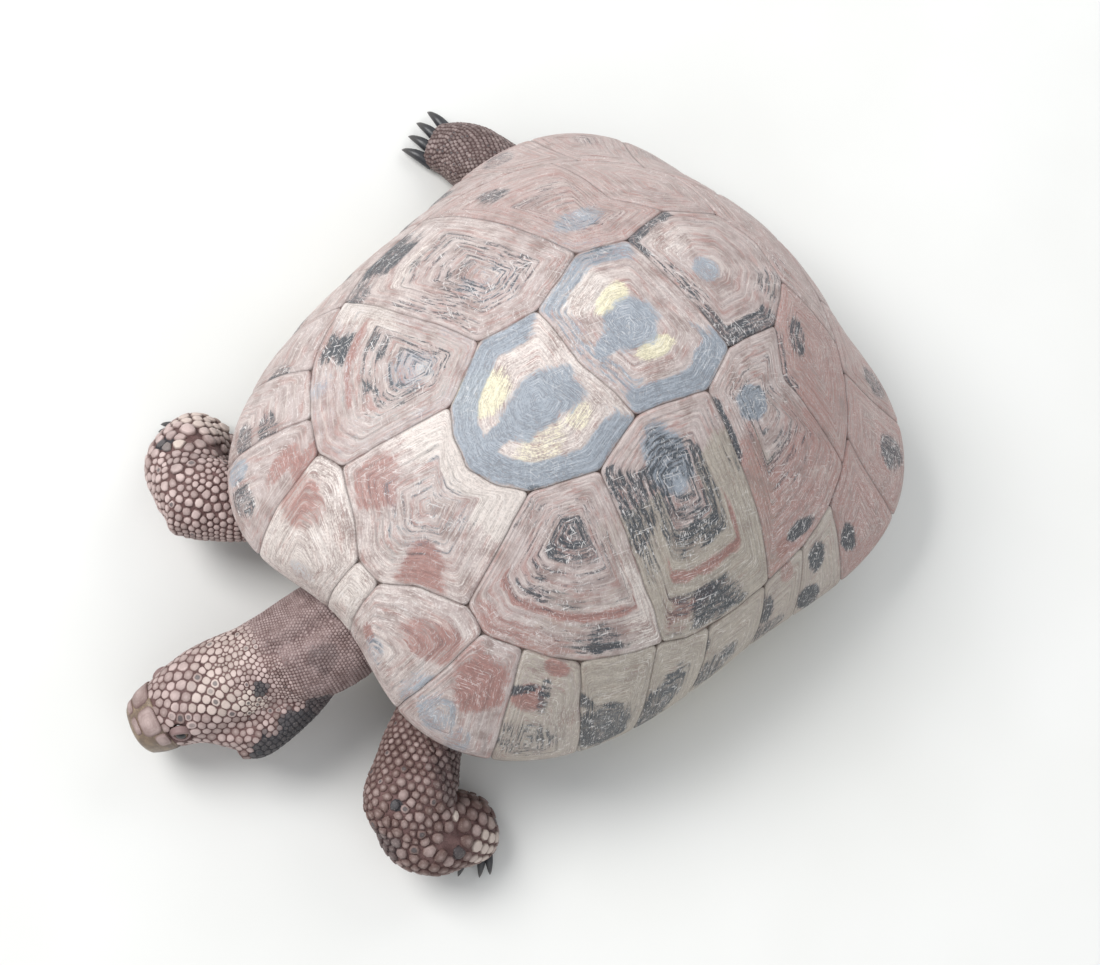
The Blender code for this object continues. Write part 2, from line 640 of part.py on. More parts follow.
def build_neck(skin, collection, shell_cutters):
    """The neck, from the shell's opening to the back of the head."""
    frame = np.array(head_frame())
    joint = np.array(HEAD_JOINT) - frame[:3, 0] * JOINT_GAP
    path = smooth_path([(0.000, -0.060, 0.036), (0.000, -0.084, 0.036), (-0.0025, -0.103, 0.0335),
                        joint], 6)
    widths = np.array([0.0170, 0.0178, 0.0187, 0.0190, 0.0180, 0.0155])
    heights = np.array([0.0125, 0.0130, 0.0135, 0.0138, 0.0135, 0.0125])
    rings = loft_rings(path, widths, heights, (0, 0, 1), 16)
    ring = head_ring(HEAD_STATIONS[0], 16, loose=THROAT_SKIN[0])
    last = placed(ring, head_frame()) - frame[:3, 0] * JOINT_GAP
    order = np.argmin(np.linalg.norm(rings[-1][0] - last, axis=1))
    turned = np.roll(last, -order, axis=0)
    backward = np.roll(turned[::-1], 1, axis=0)
    if np.linalg.norm(rings[-1] - backward) < np.linalg.norm(rings[-1] - turned):
        turned = backward
    rings = list(rings[:-1]) + [turned]
    neck = stacked_solid("neck", rings, path[0], turned.mean(axis=0), skin, collection)
    for k, cutter in enumerate(shell_cutters):
        cut_gap(neck, cutter, f"shell_gap_{k + 1}")
    return neck


def build_tail(skin, horn, collection, shell_cutters):
    """A short tail that hangs to one side, with a horn spur at its end."""
    path = smooth_path([(0.000, 0.066, 0.030), (0.000, 0.082, 0.030), (0.003, 0.0945, 0.0235),
                        (0.010, 0.100, 0.0150)], 5)
    sizes = np.array([0.0085, 0.0078, 0.0066, 0.0050, 0.0036])
    rings = loft_rings(path, sizes, sizes, (0, 1, 0.3), 10)
    tail = stacked_solid("tail", list(rings), path[0], path[-1], skin, collection)
    for k, cutter in enumerate(shell_cutters):
        cut_gap(tail, cutter, f"shell_gap_{k + 1}")
    along = path[-1] - path[-2]
    along /= np.linalg.norm(along)
    start = path[-1] + along * JOINT_GAP
    spur = np.array([start, start + along * 0.0035, start + along * 0.0065])
    sizes = np.array([0.0034, 0.0024, 0.0010])
    rings = loft_rings(spur, sizes, sizes, (0, 1, 0.3), 10)
    tip = start + along * 0.0075
    stacked_solid("tail_spur", list(rings), start, tip, horn, collection)


def widened_copy(solid, distance, name, collection):
    """A copy of a solid pushed outward, used to cut a gap in what meets it."""
    mesh = solid.data.copy()
    mesh.materials.clear()
    work = bmesh.new()
    work.from_mesh(mesh)
    work.normal_update()
    for vertex in work.verts:
        vertex.co += vertex.normal * distance
    work.to_mesh(mesh)
    work.free()
    copy = bpy.data.objects.new(name, mesh)
    collection.objects.link(copy)
    return copy


def main():
    """Build the tortoise."""
    for item in list(bpy.data.objects):
        bpy.data.objects.remove(item, do_unlink=True)
    body = new_collection(OBJECT_NAME)
    cutters = new_collection("cutters")
    skin = new_material("skin", (0.23, 0.15, 0.14), 0.75)
    plate = new_material("shell_plate", (0.50, 0.36, 0.30), 0.45)
    under = new_material("lower_shell", (0.62, 0.52, 0.26), 0.45)
    horn = new_material("horn", (0.10, 0.08, 0.07), 0.40)
    glass = new_material("eye", (0.02, 0.015, 0.01), 0.08)

    build_plates(plate, body)
    shell_cutters = [
        widened_copy(build_trunk(skin, body), JOINT_GAP, "trunk_cutter", cutters),
        widened_copy(build_plastron(under, body), JOINT_GAP, "plastron_cutter", cutters)]
    for limb in LIMBS:
        build_limb(limb, skin, body, cutters, shell_cutters)
    build_neck(skin, body, shell_cutters)
    build_head(skin, horn, glass, body, cutters)
    build_tail(skin, horn, body, shell_cutters)
    for cutter in cutters.objects:
        cutter.hide_render = True
        cutter.display_type = "WIRE"
    for solid in list(body.objects) + list(cutters.objects):
        solid.data.transform(Matrix.Translation(SHELL_PLACE))


main()
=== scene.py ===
"""Finish of a tortoise that grazes with its neck stretched and one hind foot set out.

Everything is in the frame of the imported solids: metres, +Z up, the floor at z = 0, the animal
facing -Y with its left side at +X.  The shell is one smooth dome over a unit disc, and every
horn plate is a cell of that disc.  The flesh is one skin, with solid scales standing on it.
"""
import logging
import math
from dataclasses import dataclass, field
from enum import Enum
from itertools import product

import bpy
import numpy as np
from mathutils import Matrix


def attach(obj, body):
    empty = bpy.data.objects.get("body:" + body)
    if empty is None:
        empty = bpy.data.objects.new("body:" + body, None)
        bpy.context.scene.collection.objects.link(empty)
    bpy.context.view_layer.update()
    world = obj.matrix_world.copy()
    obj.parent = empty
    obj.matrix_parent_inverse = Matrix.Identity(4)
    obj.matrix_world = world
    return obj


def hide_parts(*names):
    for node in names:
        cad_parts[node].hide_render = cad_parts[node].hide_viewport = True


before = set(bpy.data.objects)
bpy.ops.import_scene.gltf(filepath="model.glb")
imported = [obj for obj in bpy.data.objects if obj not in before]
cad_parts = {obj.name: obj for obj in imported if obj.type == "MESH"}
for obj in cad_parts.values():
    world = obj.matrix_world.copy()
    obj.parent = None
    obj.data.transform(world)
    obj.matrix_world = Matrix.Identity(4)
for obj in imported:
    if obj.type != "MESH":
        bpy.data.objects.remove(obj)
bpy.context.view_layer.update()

Array = np.ndarray
Socket = bpy.types.NodeSocket
LOG = logging.getLogger("tortoise")
MM = 0.001
BODY = "root"

# Where the shell's own centre stands in the row frame, as in the solids' source.
SHELL_PLACE = np.array([0.018459, 0.028928, 0.0])


# ---- numbers and noise ----

def lattice(cells: Array, seed: int) -> Array:
    """Random number from 0 to 1 for each whole-numbered cell: the fraction of a large sine.

    Args:
        cells: whole numbers, three in the last axis.
        seed: picks another pattern.

    Returns:
        One value for each cell.
    """
    mixed = cells @ np.array([127.1, 311.7, 74.7]) + seed * 19.19
    value = np.sin(mixed) * 43758.5453
    return value - np.floor(value)


def noise(points: Array, scale: float, seed: int = 0) -> Array:
    """Smooth noise from -1 to 1: lattice values blended by 3t^2 - 2t^3 along each axis.

    Args:
        points: places, with three numbers in the last axis.
        scale: lattice cells for each unit of length.
        seed: picks another pattern.

    Returns:
        One value for each place.
    """
    scaled = np.asarray(points, float) * scale
    base = np.floor(scaled)
    share = scaled - base
    share = share * share * (3.0 - 2.0 * share)
    total = np.zeros(scaled.shape[:-1])
    for corner in product((0, 1), repeat=3):
        weight = np.prod(np.where(np.array(corner) == 1, share, 1.0 - share), axis=-1)
        total += weight * lattice(base + np.array(corner), seed)
    return total * 2.0 - 1.0


def fractal(points: Array, scale: float, octaves: int, seed: int = 0) -> Array:
    """Sum of noise at doubled scales and halved weights, about -1 to 1."""
    layers = [noise(points, scale * 2.0 ** k, seed + k) * 0.5 ** k for k in range(octaves)]
    return sum(layers) / sum(0.5 ** k for k in range(octaves))


def smooth_step(value: Array, low: float, high: float) -> Array:
    """0 under low, 1 over high, and 3t^2 - 2t^3 between."""
    t = np.clip((np.asarray(value, float) - low) / (high - low), 0.0, 1.0)
    return t * t * (3.0 - 2.0 * t)


def bump_at(distance: Array, width: float) -> Array:
    """Bell of height 1 and of the given width: exp(-(d / w)^2)."""
    return np.exp(-(np.asarray(distance) / width) ** 2)


def full_turn(count: int) -> Array:
    """Even angles round a circle, in radians."""
    return np.linspace(0.0, 2 * np.pi, count, endpoint=False)


def unit(vectors: Array) -> Array:
    """Vectors of length 1."""
    return vectors / np.maximum(np.linalg.norm(vectors, axis=-1, keepdims=True), 1e-12)


def lengths(points: Array) -> Array:
    """Lengths of the steps along a run of points."""
    return np.linalg.norm(np.diff(points, axis=0), axis=1)


def walk(at: Array, along: Array, points: Array) -> Array:
    """Places between rows of points, where along gives a number for each row."""
    return np.stack([np.interp(at, along, column) for column in points.T], axis=1)


def spline(stations: Array, at: Array) -> Array:
    """Smooth curve through rows of numbers (Catmull-Rom), at parameters from 0 to 1.

    Args:
        stations: the rows.
        at: the parameters.

    Returns:
        A row for each parameter.
    """
    stations = np.asarray(stations, float)
    ends = [2 * stations[:1] - stations[1:2], stations, 2 * stations[-1:] - stations[-2:-1]]
    padded = np.concatenate(ends)
    t = np.clip(np.asarray(at, float), 0.0, 1.0) * (len(stations) - 1)
    i = np.minimum(t.astype(int), len(stations) - 2)
    f = (t - i)[..., None]
    p0, p1, p2, p3 = (padded[i + k] for k in range(4))
    return 0.5 * (2 * p1 + (p2 - p0) * f + (2 * p0 - 5 * p1 + 4 * p2 - p3) * f ** 2
                  + (3 * p1 - p0 - 3 * p2 + p3) * f ** 3)


# ---- meshes ----

def grid_quads(rows: int, columns: int, wrap: bool = True, first: int = 0) -> Array:
    """Quads of a grid of rows, each a run of columns that closes on itself if wrap is set.

    Args:
        rows: number of rows.
        columns: points in each row.
        wrap: whether each row closes on itself.
        first: index of the first point.

    Returns:
        Four point indices for each quad.
    """
    i = np.arange(rows - 1)[:, None]
    j = np.arange(columns if wrap else columns - 1)[None, :]
    k = (j + 1) % columns
    quads = np.stack([i * columns + j, i * columns + k, (i + 1) * columns + k,
                      (i + 1) * columns + j], axis=-1)
    return quads.reshape(-1, 4) + first


def fan(centre: int, ring: Array, flip: bool = False) -> Array:
    """Triangles from a centre vertex to a closed ring of vertices.

    Args:
        centre: index of the middle point.
        ring: indices of the ring.
        flip: turns the faces over.

    Returns:
        Three point indices for each triangle.
    """
    other = np.roll(ring, -1)
    middle = np.full_like(ring, centre)
    return np.stack([middle, other, ring] if flip else [middle, ring, other], axis=-1)


def caps(rows: int, columns: int) -> Array:
    """Triangles from two points that follow a grid of rings to its first and last ring."""
    last, ring = rows * columns, np.arange(columns)
    return np.concatenate([fan(last, ring, flip=True), fan(last + 1, ring + last - columns)])


def new_object(name: str, data: bpy.types.ID) -> bpy.types.Object:
    """An object of the scene that holds the given data.

    Args:
        name: its name.
        data: a mesh, lamp or camera.

    Returns:
        The object.
    """
    holder = bpy.data.objects.new(name, data)
    bpy.context.scene.collection.objects.link(holder)
    return holder


@dataclass
class MeshData:
    """Points, faces and per-point values of a piece, before it is a Blender object."""

    points: Array
    quads: Array
    triangles: Array = field(default_factory=lambda: np.zeros((0, 3), int))
    values: dict = field(default_factory=dict)
    uv: Array | None = None

    def outward(self) -> "MeshData":
        """The same closed surface with its faces turned outward, judged by its signed volume.

        Returns:
            The mesh itself.
        """
        corners = np.concatenate([self.quads[:, [0, 1, 2]], self.quads[:, [0, 2, 3]], self.triangles])
        a, b, c = (self.points[corners[:, k]] for k in range(3))
        middle = self.points.mean(axis=0)
        volume = np.einsum("ij,ij->i", a - middle, np.cross(b - middle, c - middle)).sum()
        if volume < 0:
            self.quads = self.quads[:, ::-1]
            self.triangles = self.triangles[:, ::-1]
        return self


def join(parts: list) -> MeshData:
    """Several meshes as one, with the values and UV places that all of them have.

    Args:
        parts: the meshes.

    Returns:
        The one mesh.
    """
    starts = np.cumsum([0] + [len(p.points) for p in parts[:-1]])
    return MeshData(
        points=np.concatenate([p.points for p in parts]),
        quads=np.concatenate([p.quads + s for p, s in zip(parts, starts)]),
        triangles=np.concatenate([p.triangles + s for p, s in zip(parts, starts)]),
        values={k: np.concatenate([p.values[k] for p in parts]) for k in parts[0].values},
        uv=None if parts[0].uv is None else np.concatenate([p.uv for p in parts]))


def closed_stack(rings: Array, start: Array | None = None, end: Array | None = None) -> MeshData:
    """A closed surface over rings of one count, with a centre point at each end.

    Args:
        rings: rows of points, ring by ring.
        start: centre point of the first ring, or none for its mean.
        end: the same for the last ring.

    Returns:
        The closed mesh.
    """
    rows, columns = rings.shape[:2]
    start = rings[0].mean(axis=0) if start is None else start
    end = rings[-1].mean(axis=0) if end is None else end
    points = np.concatenate([rings.reshape(-1, 3), [start, end]])
    return MeshData(points, grid_quads(rows, columns), caps(rows, columns)).outward()


def make_piece(name: str, data: MeshData, material: bpy.types.Material | None) -> bpy.types.Object:
    """A Blender object from mesh data, smooth shaded, with its values as attributes.

    Args:
        name: the piece's name.
        data: its mesh; values with three numbers become vectors, others become floats.
        material: its finish.

    Returns:
        The object, at the origin, linked to the scene.
    """
    mesh = bpy.data.meshes.new(name)
    loops = np.concatenate([data.quads.ravel(), data.triangles.ravel()]).astype(np.int32)
    sizes = np.concatenate([np.full(len(data.quads), 4), np.full(len(data.triangles), 3)])
    mesh.vertices.add(len(data.points))
    mesh.vertices.foreach_set("co", data.points.astype(np.float32).ravel())
    mesh.loops.add(len(loops))
    mesh.loops.foreach_set("vertex_index", loops)
    mesh.polygons.add(len(sizes))
    mesh.polygons.foreach_set("loop_start", (np.cumsum(sizes) - sizes).astype(np.int32))
    mesh.update(calc_edges=True)
    for key, value in data.values.items():
        kind = "FLOAT_VECTOR" if value.ndim == 2 else "FLOAT"
        layer = mesh.attributes.new(key, kind, "POINT")
        layer.data.foreach_set("vector" if value.ndim == 2 else "value",
                               value.astype(np.float32).ravel())
    if data.uv is not None:
        layer = mesh.uv_layers.new(name="OFBake")
        layer.uv.foreach_set("vector", data.uv[loops].astype(np.float32).ravel())
    mesh.shade_smooth()
    if material is not None:
        mesh.materials.append(material)
    return new_object(name, mesh)


def hand_over(piece: bpy.types.Object, slot: str, *nodes: str) -> None:
    """Ties a piece to the body, in place of the named solids.

    Args:
        piece: the piece.
        slot: name of its material slot; not used.
        nodes: the solids it stands for.
    """
    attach(piece, BODY)
    if nodes:
        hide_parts(*nodes)
    LOG.info("%s: %d faces", piece.name, len(piece.data.polygons))


# ---- finishes ----

def shade(red: int, green: int, blue: int) -> tuple:
    """A colour given as seen on a screen, 0 to 255, as the linear values that shaders take.

    Args:
        red: 0 to 255.
        green: 0 to 255.
        blue: 0 to 255.

    Returns:
        Red, green, blue and 1.
    """
    seen = np.array([red, green, blue]) / 255.0
    value = np.where(seen <= 0.04045, seen / 12.92, ((seen + 0.055) / 1.055) ** 2.4)
    return (*value.tolist(), 1.0)


class Recipe:
    """A node material under construction: small methods that each add one node."""

    def __init__(self, name: str, roughness: float, specular: float = 0.4) -> None:
        """Starts a Principled material with a roughness and a specular level.

        Args:
            name: its name.
            roughness: plain roughness.
            specular: specular level.
        """
        self.material = bpy.data.materials.new(name)
        self.material.use_nodes = True
        self.tree = self.material.node_tree
        self.shader = self.tree.nodes["Principled BSDF"]
        self.shader.inputs["Roughness"].default_value = roughness
        self.shader.inputs["Specular IOR Level"].default_value = specular
        self.object_place = self.tree.nodes.new("ShaderNodeTexCoord").outputs["Object"]

    def put(self, socket: Socket, value: Socket | float | tuple) -> None:
        """Links a socket to an output, or sets it to a plain value.

        Args:
            socket: the input.
            value: an output or a plain value.
        """
        if isinstance(value, bpy.types.NodeSocket):
            self.tree.links.new(value, socket)
        else:
            socket.default_value = value

    def attribute(self, name: str, vector: bool = False) -> Socket:
        """A per-point value of the piece.

        Args:
            name: its name.
            vector: whether it has three numbers.

        Returns:
            Its output.
        """
        node = self.tree.nodes.new("ShaderNodeAttribute")
        node.attribute_name = name
        return node.outputs["Vector" if vector else "Fac"]

    def stretched(self, vector: Socket, scale: tuple) -> Socket:
        """A place vector scaled along its axes.

        Args:
            vector: the place.
            scale: one factor for each axis.

        Returns:
            The scaled place.
        """
        node = self.tree.nodes.new("ShaderNodeMapping")
        self.put(node.inputs["Vector"], vector)
        node.inputs["Scale"].default_value = scale
        return node.outputs[0]

    def noise(self, vector: Socket, scale: float, detail: float = 3.0, rough: float = 0.55) -> Socket:
        """Fractal noise, 0 to 1.

        Args:
            vector: place to read the pattern at.
            scale: pattern cells for each unit.
            detail: octaves.
            rough: weight of the finer octaves.

        Returns:
            The noise.
        """
        node = self.tree.nodes.new("ShaderNodeTexNoise")
        self.put(node.inputs["Vector"], vector)
        node.inputs["Scale"].default_value = scale
        node.inputs["Detail"].default_value = detail
        node.inputs["Roughness"].default_value = rough
        return node.outputs["Fac"]

    def grain(self, scale: float, detail: float = 3.0, rough: float = 0.55) -> Socket:
        """Fractal noise over the piece's own place, 0 to 1."""
        return self.noise(self.object_place, scale, detail, rough)

    def cells(self, vector: Socket, scale: float) -> Socket:
        """Distance to the nearest of scattered points.

        Args:
            vector: place to read the pattern at.
            scale: pattern cells for each unit.

        Returns:
            The distance.
        """
        node = self.tree.nodes.new("ShaderNodeTexVoronoi")
        self.put(node.inputs["Vector"], vector)
        node.inputs["Scale"].default_value = scale
        return node.outputs["Distance"]

    def ramp(self, value: Socket, low: float, high: float, bottom: float = 0.0, top: float = 1.0) -> Socket:
        """Smooth change from bottom to top as a value goes from low to high.

        Args:
            value: the number to read.
            low: where the change starts.
            high: where it ends.
            bottom: result under low.
            top: result over high.

        Returns:
            The result.
        """
        node = self.tree.nodes.new("ShaderNodeMapRange")
        node.interpolation_type = "SMOOTHSTEP"
        self.put(node.inputs["Value"], value)
        for key, number in (("From Min", low), ("From Max", high), ("To Min", bottom), ("To Max", top)):
            node.inputs[key].default_value = number
        return node.outputs["Result"]

    def math(self, operation: str, first: Socket, second: Socket | float = 0.0) -> Socket:
        """One sum on one or two numbers.

        Args:
            operation: Blender's name of the sum.
            first: first number.
            second: second number.

        Returns:
            The result.
        """
        node = self.tree.nodes.new("ShaderNodeMath")
        node.operation = operation
        self.put(node.inputs[0], first)
        self.put(node.inputs[1], second)
        return node.outputs[0]

    def plus(self, first: Socket, second: Socket | float) -> Socket:
        """Sum of two numbers."""
        return self.math("ADD", first, second)

    def times(self, first: Socket, second: Socket | float) -> Socket:
        """Product of two numbers."""
        return self.math("MULTIPLY", first, second)

    def mix(self, share: Socket | float, first: Socket | tuple, second: Socket | tuple) -> Socket:
        """Colour between first and second.

        Args:
            share: share of the second colour.
            first: first colour.
            second: second colour.

        Returns:
            The mixed colour.
        """
        node = self.tree.nodes.new("ShaderNodeMix")
        node.data_type = "RGBA"
        self.put(node.inputs["Factor"], share)
        self.put(node.inputs[6], first)
        self.put(node.inputs[7], second)
        return node.outputs[2]

    def lay(self, colour: Socket, tint: Socket | tuple, value: Socket, *ramp: float) -> Socket:
        """The colour with a tint over it, as strong as a ramp on a value says."""
        return self.mix(self.ramp(value, *ramp), colour, tint)

    def finish(self, colour: Socket, roughness: Socket | None = None, height: Socket | None = None,
               depth: float = 0.1 * MM) -> bpy.types.Material:
        """Sets the colour, roughness and bump, and returns the material.

        Args:
            colour: the base colour's output.
            roughness: its output, or none to keep the plain one.
            height: bump height, 0 to 1, or none.
            depth: height of the bump in metres.

        Returns:
            The material.
        """
        self.put(self.shader.inputs["Base Color"], colour)
        if roughness is not None:
            self.put(self.shader.inputs["Roughness"], roughness)
        if height is not None:
            node = self.tree.nodes.new("ShaderNodeBump")
            node.inputs["Strength"].default_value = 1.0
            node.inputs["Distance"].default_value = depth
            self.put(node.inputs["Height"], height)
            self.put(self.shader.inputs["Normal"], node.outputs[0])
        return self.material


# ---- the shell's dome ----

def by_side(ca: Array, cb: Array, side: float, front: float, rear: float) -> Array:
    """Blend of three values by direction: side by ca^2, front and rear by cb^2."""
    return side * ca ** 2 + np.where(cb < 0.0, front, rear) * cb ** 2


@dataclass(frozen=True)
class Dome:
    """The shell's smooth form over a unit disc: a runs to the left, b to the rear."""

    length: float = 0.21
    width: float = 0.1822
    top: float = 0.1172
    rims: tuple = (0.0262, 0.0507, 0.0324)
    rear_widening: float = 0.0455
    corners: tuple = (0.0951, -0.0317)
    fullness_crown: float = 0.285
    fullness: tuple = (0.436, 0.236, 0.065)
    steepness: tuple = (0.785, 0.86, 0.857)
    flare: tuple = (0.0017, 0.0034, 0.0018)
    flare_quarter: float = 0.0254
    notch: float = 0.0129
    notch_width: float = 0.35
    crown_shift: float = 0.0098

    def point(self, place: Array) -> Array:
        """Point over disc places.

        The reach to the rim is sin(pi s / 2) (1 - K cos^2(pi s / 2)) and the rise over the rim
        is cos(pi s / 2)^Q, where s is the distance from the disc's centre.  K and Q change with
        the direction, and a flare F s^8 pushes the rim outward.

        Args:
            place: disc places.

        Returns:
            Points in the row frame.
        """
        a, b = place[..., 0], place[..., 1]
        s = np.hypot(a, b) + 1e-9
        ca, cb = a / s, b / s
        s = np.clip(s, 1e-6, 1.0)
        quarter, front = 4.0 * ca ** 2 * cb ** 2, cb < 0.0
        sine, cosine = np.sin(s * np.pi / 2), np.cos(s * np.pi / 2)
        full = self.fullness_crown + s ** 2 * (by_side(ca, cb, *self.fullness) - self.fullness_crown)
        corner = np.where(front, *self.corners) * quarter
        reach = sine * (1.0 - full * cosine ** 2) * (1.0 + corner * s ** 2)
        rise = cosine ** by_side(ca, cb, *self.steepness)
        flare = by_side(ca, cb, *self.flare) + np.where(front, 0.0, self.flare_quarter) * quarter
        flare = flare * s ** 8
        y = cb * (reach * self.length / 2 + flare)
        x = ca * (reach * self.width / 2 + flare) * (1.0 + self.rear_widening * y / (self.length / 2))
        notch = self.notch * np.exp(-(ca / self.notch_width) ** 2) * front * s ** 4
        rim = by_side(ca, cb, *self.rims)
        z = rim + rise * (self.top - rim)
        return np.stack([x, y + notch + self.crown_shift * rise, z], axis=-1) + SHELL_PLACE

    def under(self, place: Array, depth: float | Array) -> Array:
        """Point at a depth under the dome, along the normal."""
        return self.point(place) - self.normal(place) * depth

    def normal(self, place: Array) -> Array:
        """Outward unit normal by central differences, taken just inside the rim.

        Args:
            place: disc places.

        Returns:
            One normal for each place.
        """
        reach = np.maximum(np.linalg.norm(place, axis=-1, keepdims=True), 1e-9)
        place = place * np.minimum(1.0, 0.985 / reach)
        step = 0.006
        along_a = self.point(place + [step, 0.0]) - self.point(place - [step, 0.0])
        along_b = self.point(place + [0.0, step]) - self.point(place - [0.0, step])
        return unit(np.cross(along_a, along_b))


DOME = Dome()


# ---- layout of the plates ----

NOSE_LINE = [(0.0, -0.742), (0.045, -0.735), (0.14, -0.656), (0.27, -0.583)]
SEAM_12 = [(0.0, -0.421), (0.107, -0.391), (0.171, -0.35)]
SEAM_23 = [(0.0, -0.074), (0.22, -0.044)]
SEAM_34 = [(0.0, 0.285), (0.218, 0.291)]
SEAM_45 = [(0.0, 0.603), (0.131, 0.58)]
WING_2, WING_3, WING_4 = (0.261, -0.197), (0.284, 0.163), (0.227, 0.451)
COSTAL_ENDS = {1: 70.7, 2: 97.0, 3: 126.0, 4: 152.0}
COSTAL_BEND_3 = (0.366, 0.385)
# Distance of the line between costal and marginal plates from the disc's centre, by heading
# in degrees from the nose.
MARGIN_LINE = ((0, 0.742), (12, 0.672), (25, 0.644), (31, 0.685), (41, 0.697), (53, 0.73),
               (70, 0.755), (81, 0.795), (97, 0.803), (117, 0.815), (130, 0.795), (152, 0.755),
               (180, 0.75))
# Headings of the seams between marginal plates: at the margin line and at the rim.
MARGINAL_SEAMS = ((3, 3.5), (31, 21), (40.5, 41.5), (53, 56.5), (69.5, 67), (81.5, 79),
                  (96, 93.5), (107, 103), (118, 113), (132, 127), (146, 143), (163, 162),
                  (180, 180))
VERTEBRAL_HEARTS = {1: (0, -0.528), 2: (0, -0.21), 3: (0, 0.1), 4: (0, 0.395), 5: (0, 0.675)}
COSTAL_HEARTS = {1: (0.317, -0.315), 2: (0.409, -0.043), 3: (0.369, 0.267), 4: (0.32, 0.52)}


class Layout:
    """Outlines of the horn plates on the disc, each from named corner places."""

    def on_margin(self, heading: float) -> tuple:
        """Place on the costal and marginal line at a heading in degrees from the nose.

        Args:
            heading: degrees from the nose end.

        Returns:
            The disc place.
        """
        stations = np.array(MARGIN_LINE)
        distance = np.interp(heading, stations[:, 0], stations[:, 1])
        angle = math.radians(heading)
        return (distance * math.sin(angle), -distance * math.cos(angle))

    def on_rim(self, heading: float) -> tuple:
        """Place on the rim at a heading."""
        angle = math.radians(heading)
        return (math.sin(angle), -math.cos(angle))

    def margin_run(self, start: float, end: float, count: int) -> list:
        """Places along the margin line between two headings."""
        return [self.on_margin(h) for h in np.linspace(start, end, count)]

    def mirrored(self, places: list) -> list:
        """The same places on the animal's right side, in reverse order."""
        return [(-a, b) for a, b in reversed(places)]

    def vertebral(self, number: int) -> list:
        """Outline of a middle plate, from its front middle round by the left.

        Args:
            number: the plate, counted from the front.

        Returns:
            Corner places in order.
        """
        fronts = {1: NOSE_LINE, 2: SEAM_12, 3: SEAM_23, 4: SEAM_34, 5: SEAM_45}
        wings = {1: [], 2: [WING_2], 3: [WING_3], 4: [WING_4], 5: []}
        if number == 5:
            back = self.margin_run(COSTAL_ENDS[4], 180.0, 4)
        else:
            back = list(reversed(fronts[number + 1]))
        left = fronts[number] + wings[number] + back
        return left + self.mirrored(left)[1:-1]

    def costal(self, number: int) -> list:
        """Outline of a left side plate.

        Args:
            number: the plate, counted from the front.

        Returns:
            Corner places in order.
        """
        if number == 1:
            low = self.margin_run(MARGINAL_SEAMS[1][0], COSTAL_ENDS[1], 6)
            return [SEAM_12[-1], NOSE_LINE[-1]] + low + [WING_2]
        if number == 2:
            low = self.margin_run(COSTAL_ENDS[1], COSTAL_ENDS[2], 4)
            return [WING_2] + low + [WING_3, SEAM_23[-1]]
        if number == 3:
            low = self.margin_run(COSTAL_ENDS[2], COSTAL_ENDS[3], 4)
            return [WING_3] + low + [COSTAL_BEND_3, WING_4, SEAM_34[-1]]
        low = self.margin_run(COSTAL_ENDS[3], COSTAL_ENDS[4], 4)
        return [WING_4, COSTAL_BEND_3] + low + [SEAM_45[-1]]

    def marginal(self, number: int) -> list:
        """Outline of a left rim plate; number 12 is the left tail plate.

        Args:
            number: the plate, counted from the front.

        Returns:
            Corner places in order.
        """
        (in_1, out_1), (in_2, out_2) = MARGINAL_SEAMS[number - 1:number + 1]
        rim = [self.on_rim(h) for h in np.linspace(out_2, out_1, 7)]
        if number == 1:
            return [*NOSE_LINE[1:], self.on_margin(in_2)] + rim
        return self.margin_run(in_1, in_2, 3) + rim

    def nuchal(self) -> list:
        """Outline of the narrow plate over the neck."""
        left = [*NOSE_LINE[:2], self.on_rim(MARGINAL_SEAMS[0][1]), self.on_rim(0.0)]
        return left + self.mirrored(left)[1:-1]


# ---- markings of the shell ----

class Pigment(Enum):
    """Colours that lie in the horn, from under to over."""

    TAN = "tan"
    CREAM = "cream"
    BRICK = "brick"
    YELLOW = "yellow"
    SLATE = "slate"
    DARK = "dark"


@dataclass(frozen=True)
class Band:
    """A marking between two growth rings and about a heading from the plate's heart.

    Headings are in degrees from the nose end, positive to the animal's left.  A streaked
    marking is broken along the growth rings.
    """

    pigment: Pigment
    heading: float
    spread: float
    inner: float
    outer: float
    strength: float = 1.0
    streaked: float = 0.0

    def mask(self, place: Array, ring: Array, heading: Array, ragged: Array) -> Array:
        """Share of the marking at each point, with ragged edges.

        Args:
            place: disc places; not used.
            ring: share of the way from the heart to the edge.
            heading: degrees from the nose end.
            ragged: noise that tears the edges.

        Returns:
            Share of the pigment.
        """
        turn = np.abs((heading - self.heading + 180.0) % 360.0 - 180.0)
        soft = np.clip(9.0 / np.maximum(ring, 0.08), 8.0, 40.0)
        turn = 1.0 if self.spread >= 180.0 else smooth_step(
            (self.spread - turn) / soft + ragged * 0.7, -0.6, 0.6)
        low = smooth_step((ring - self.inner) / 0.06 + ragged * 0.5, -0.6, 0.6)
        high = smooth_step((self.outer - ring) / 0.06 + ragged * 0.5, -0.6, 0.6)
        if self.inner <= 0.0:
            low = 1.0
        if self.outer >= 1.0:
            high = 1.0
        return self.strength * turn * low * high


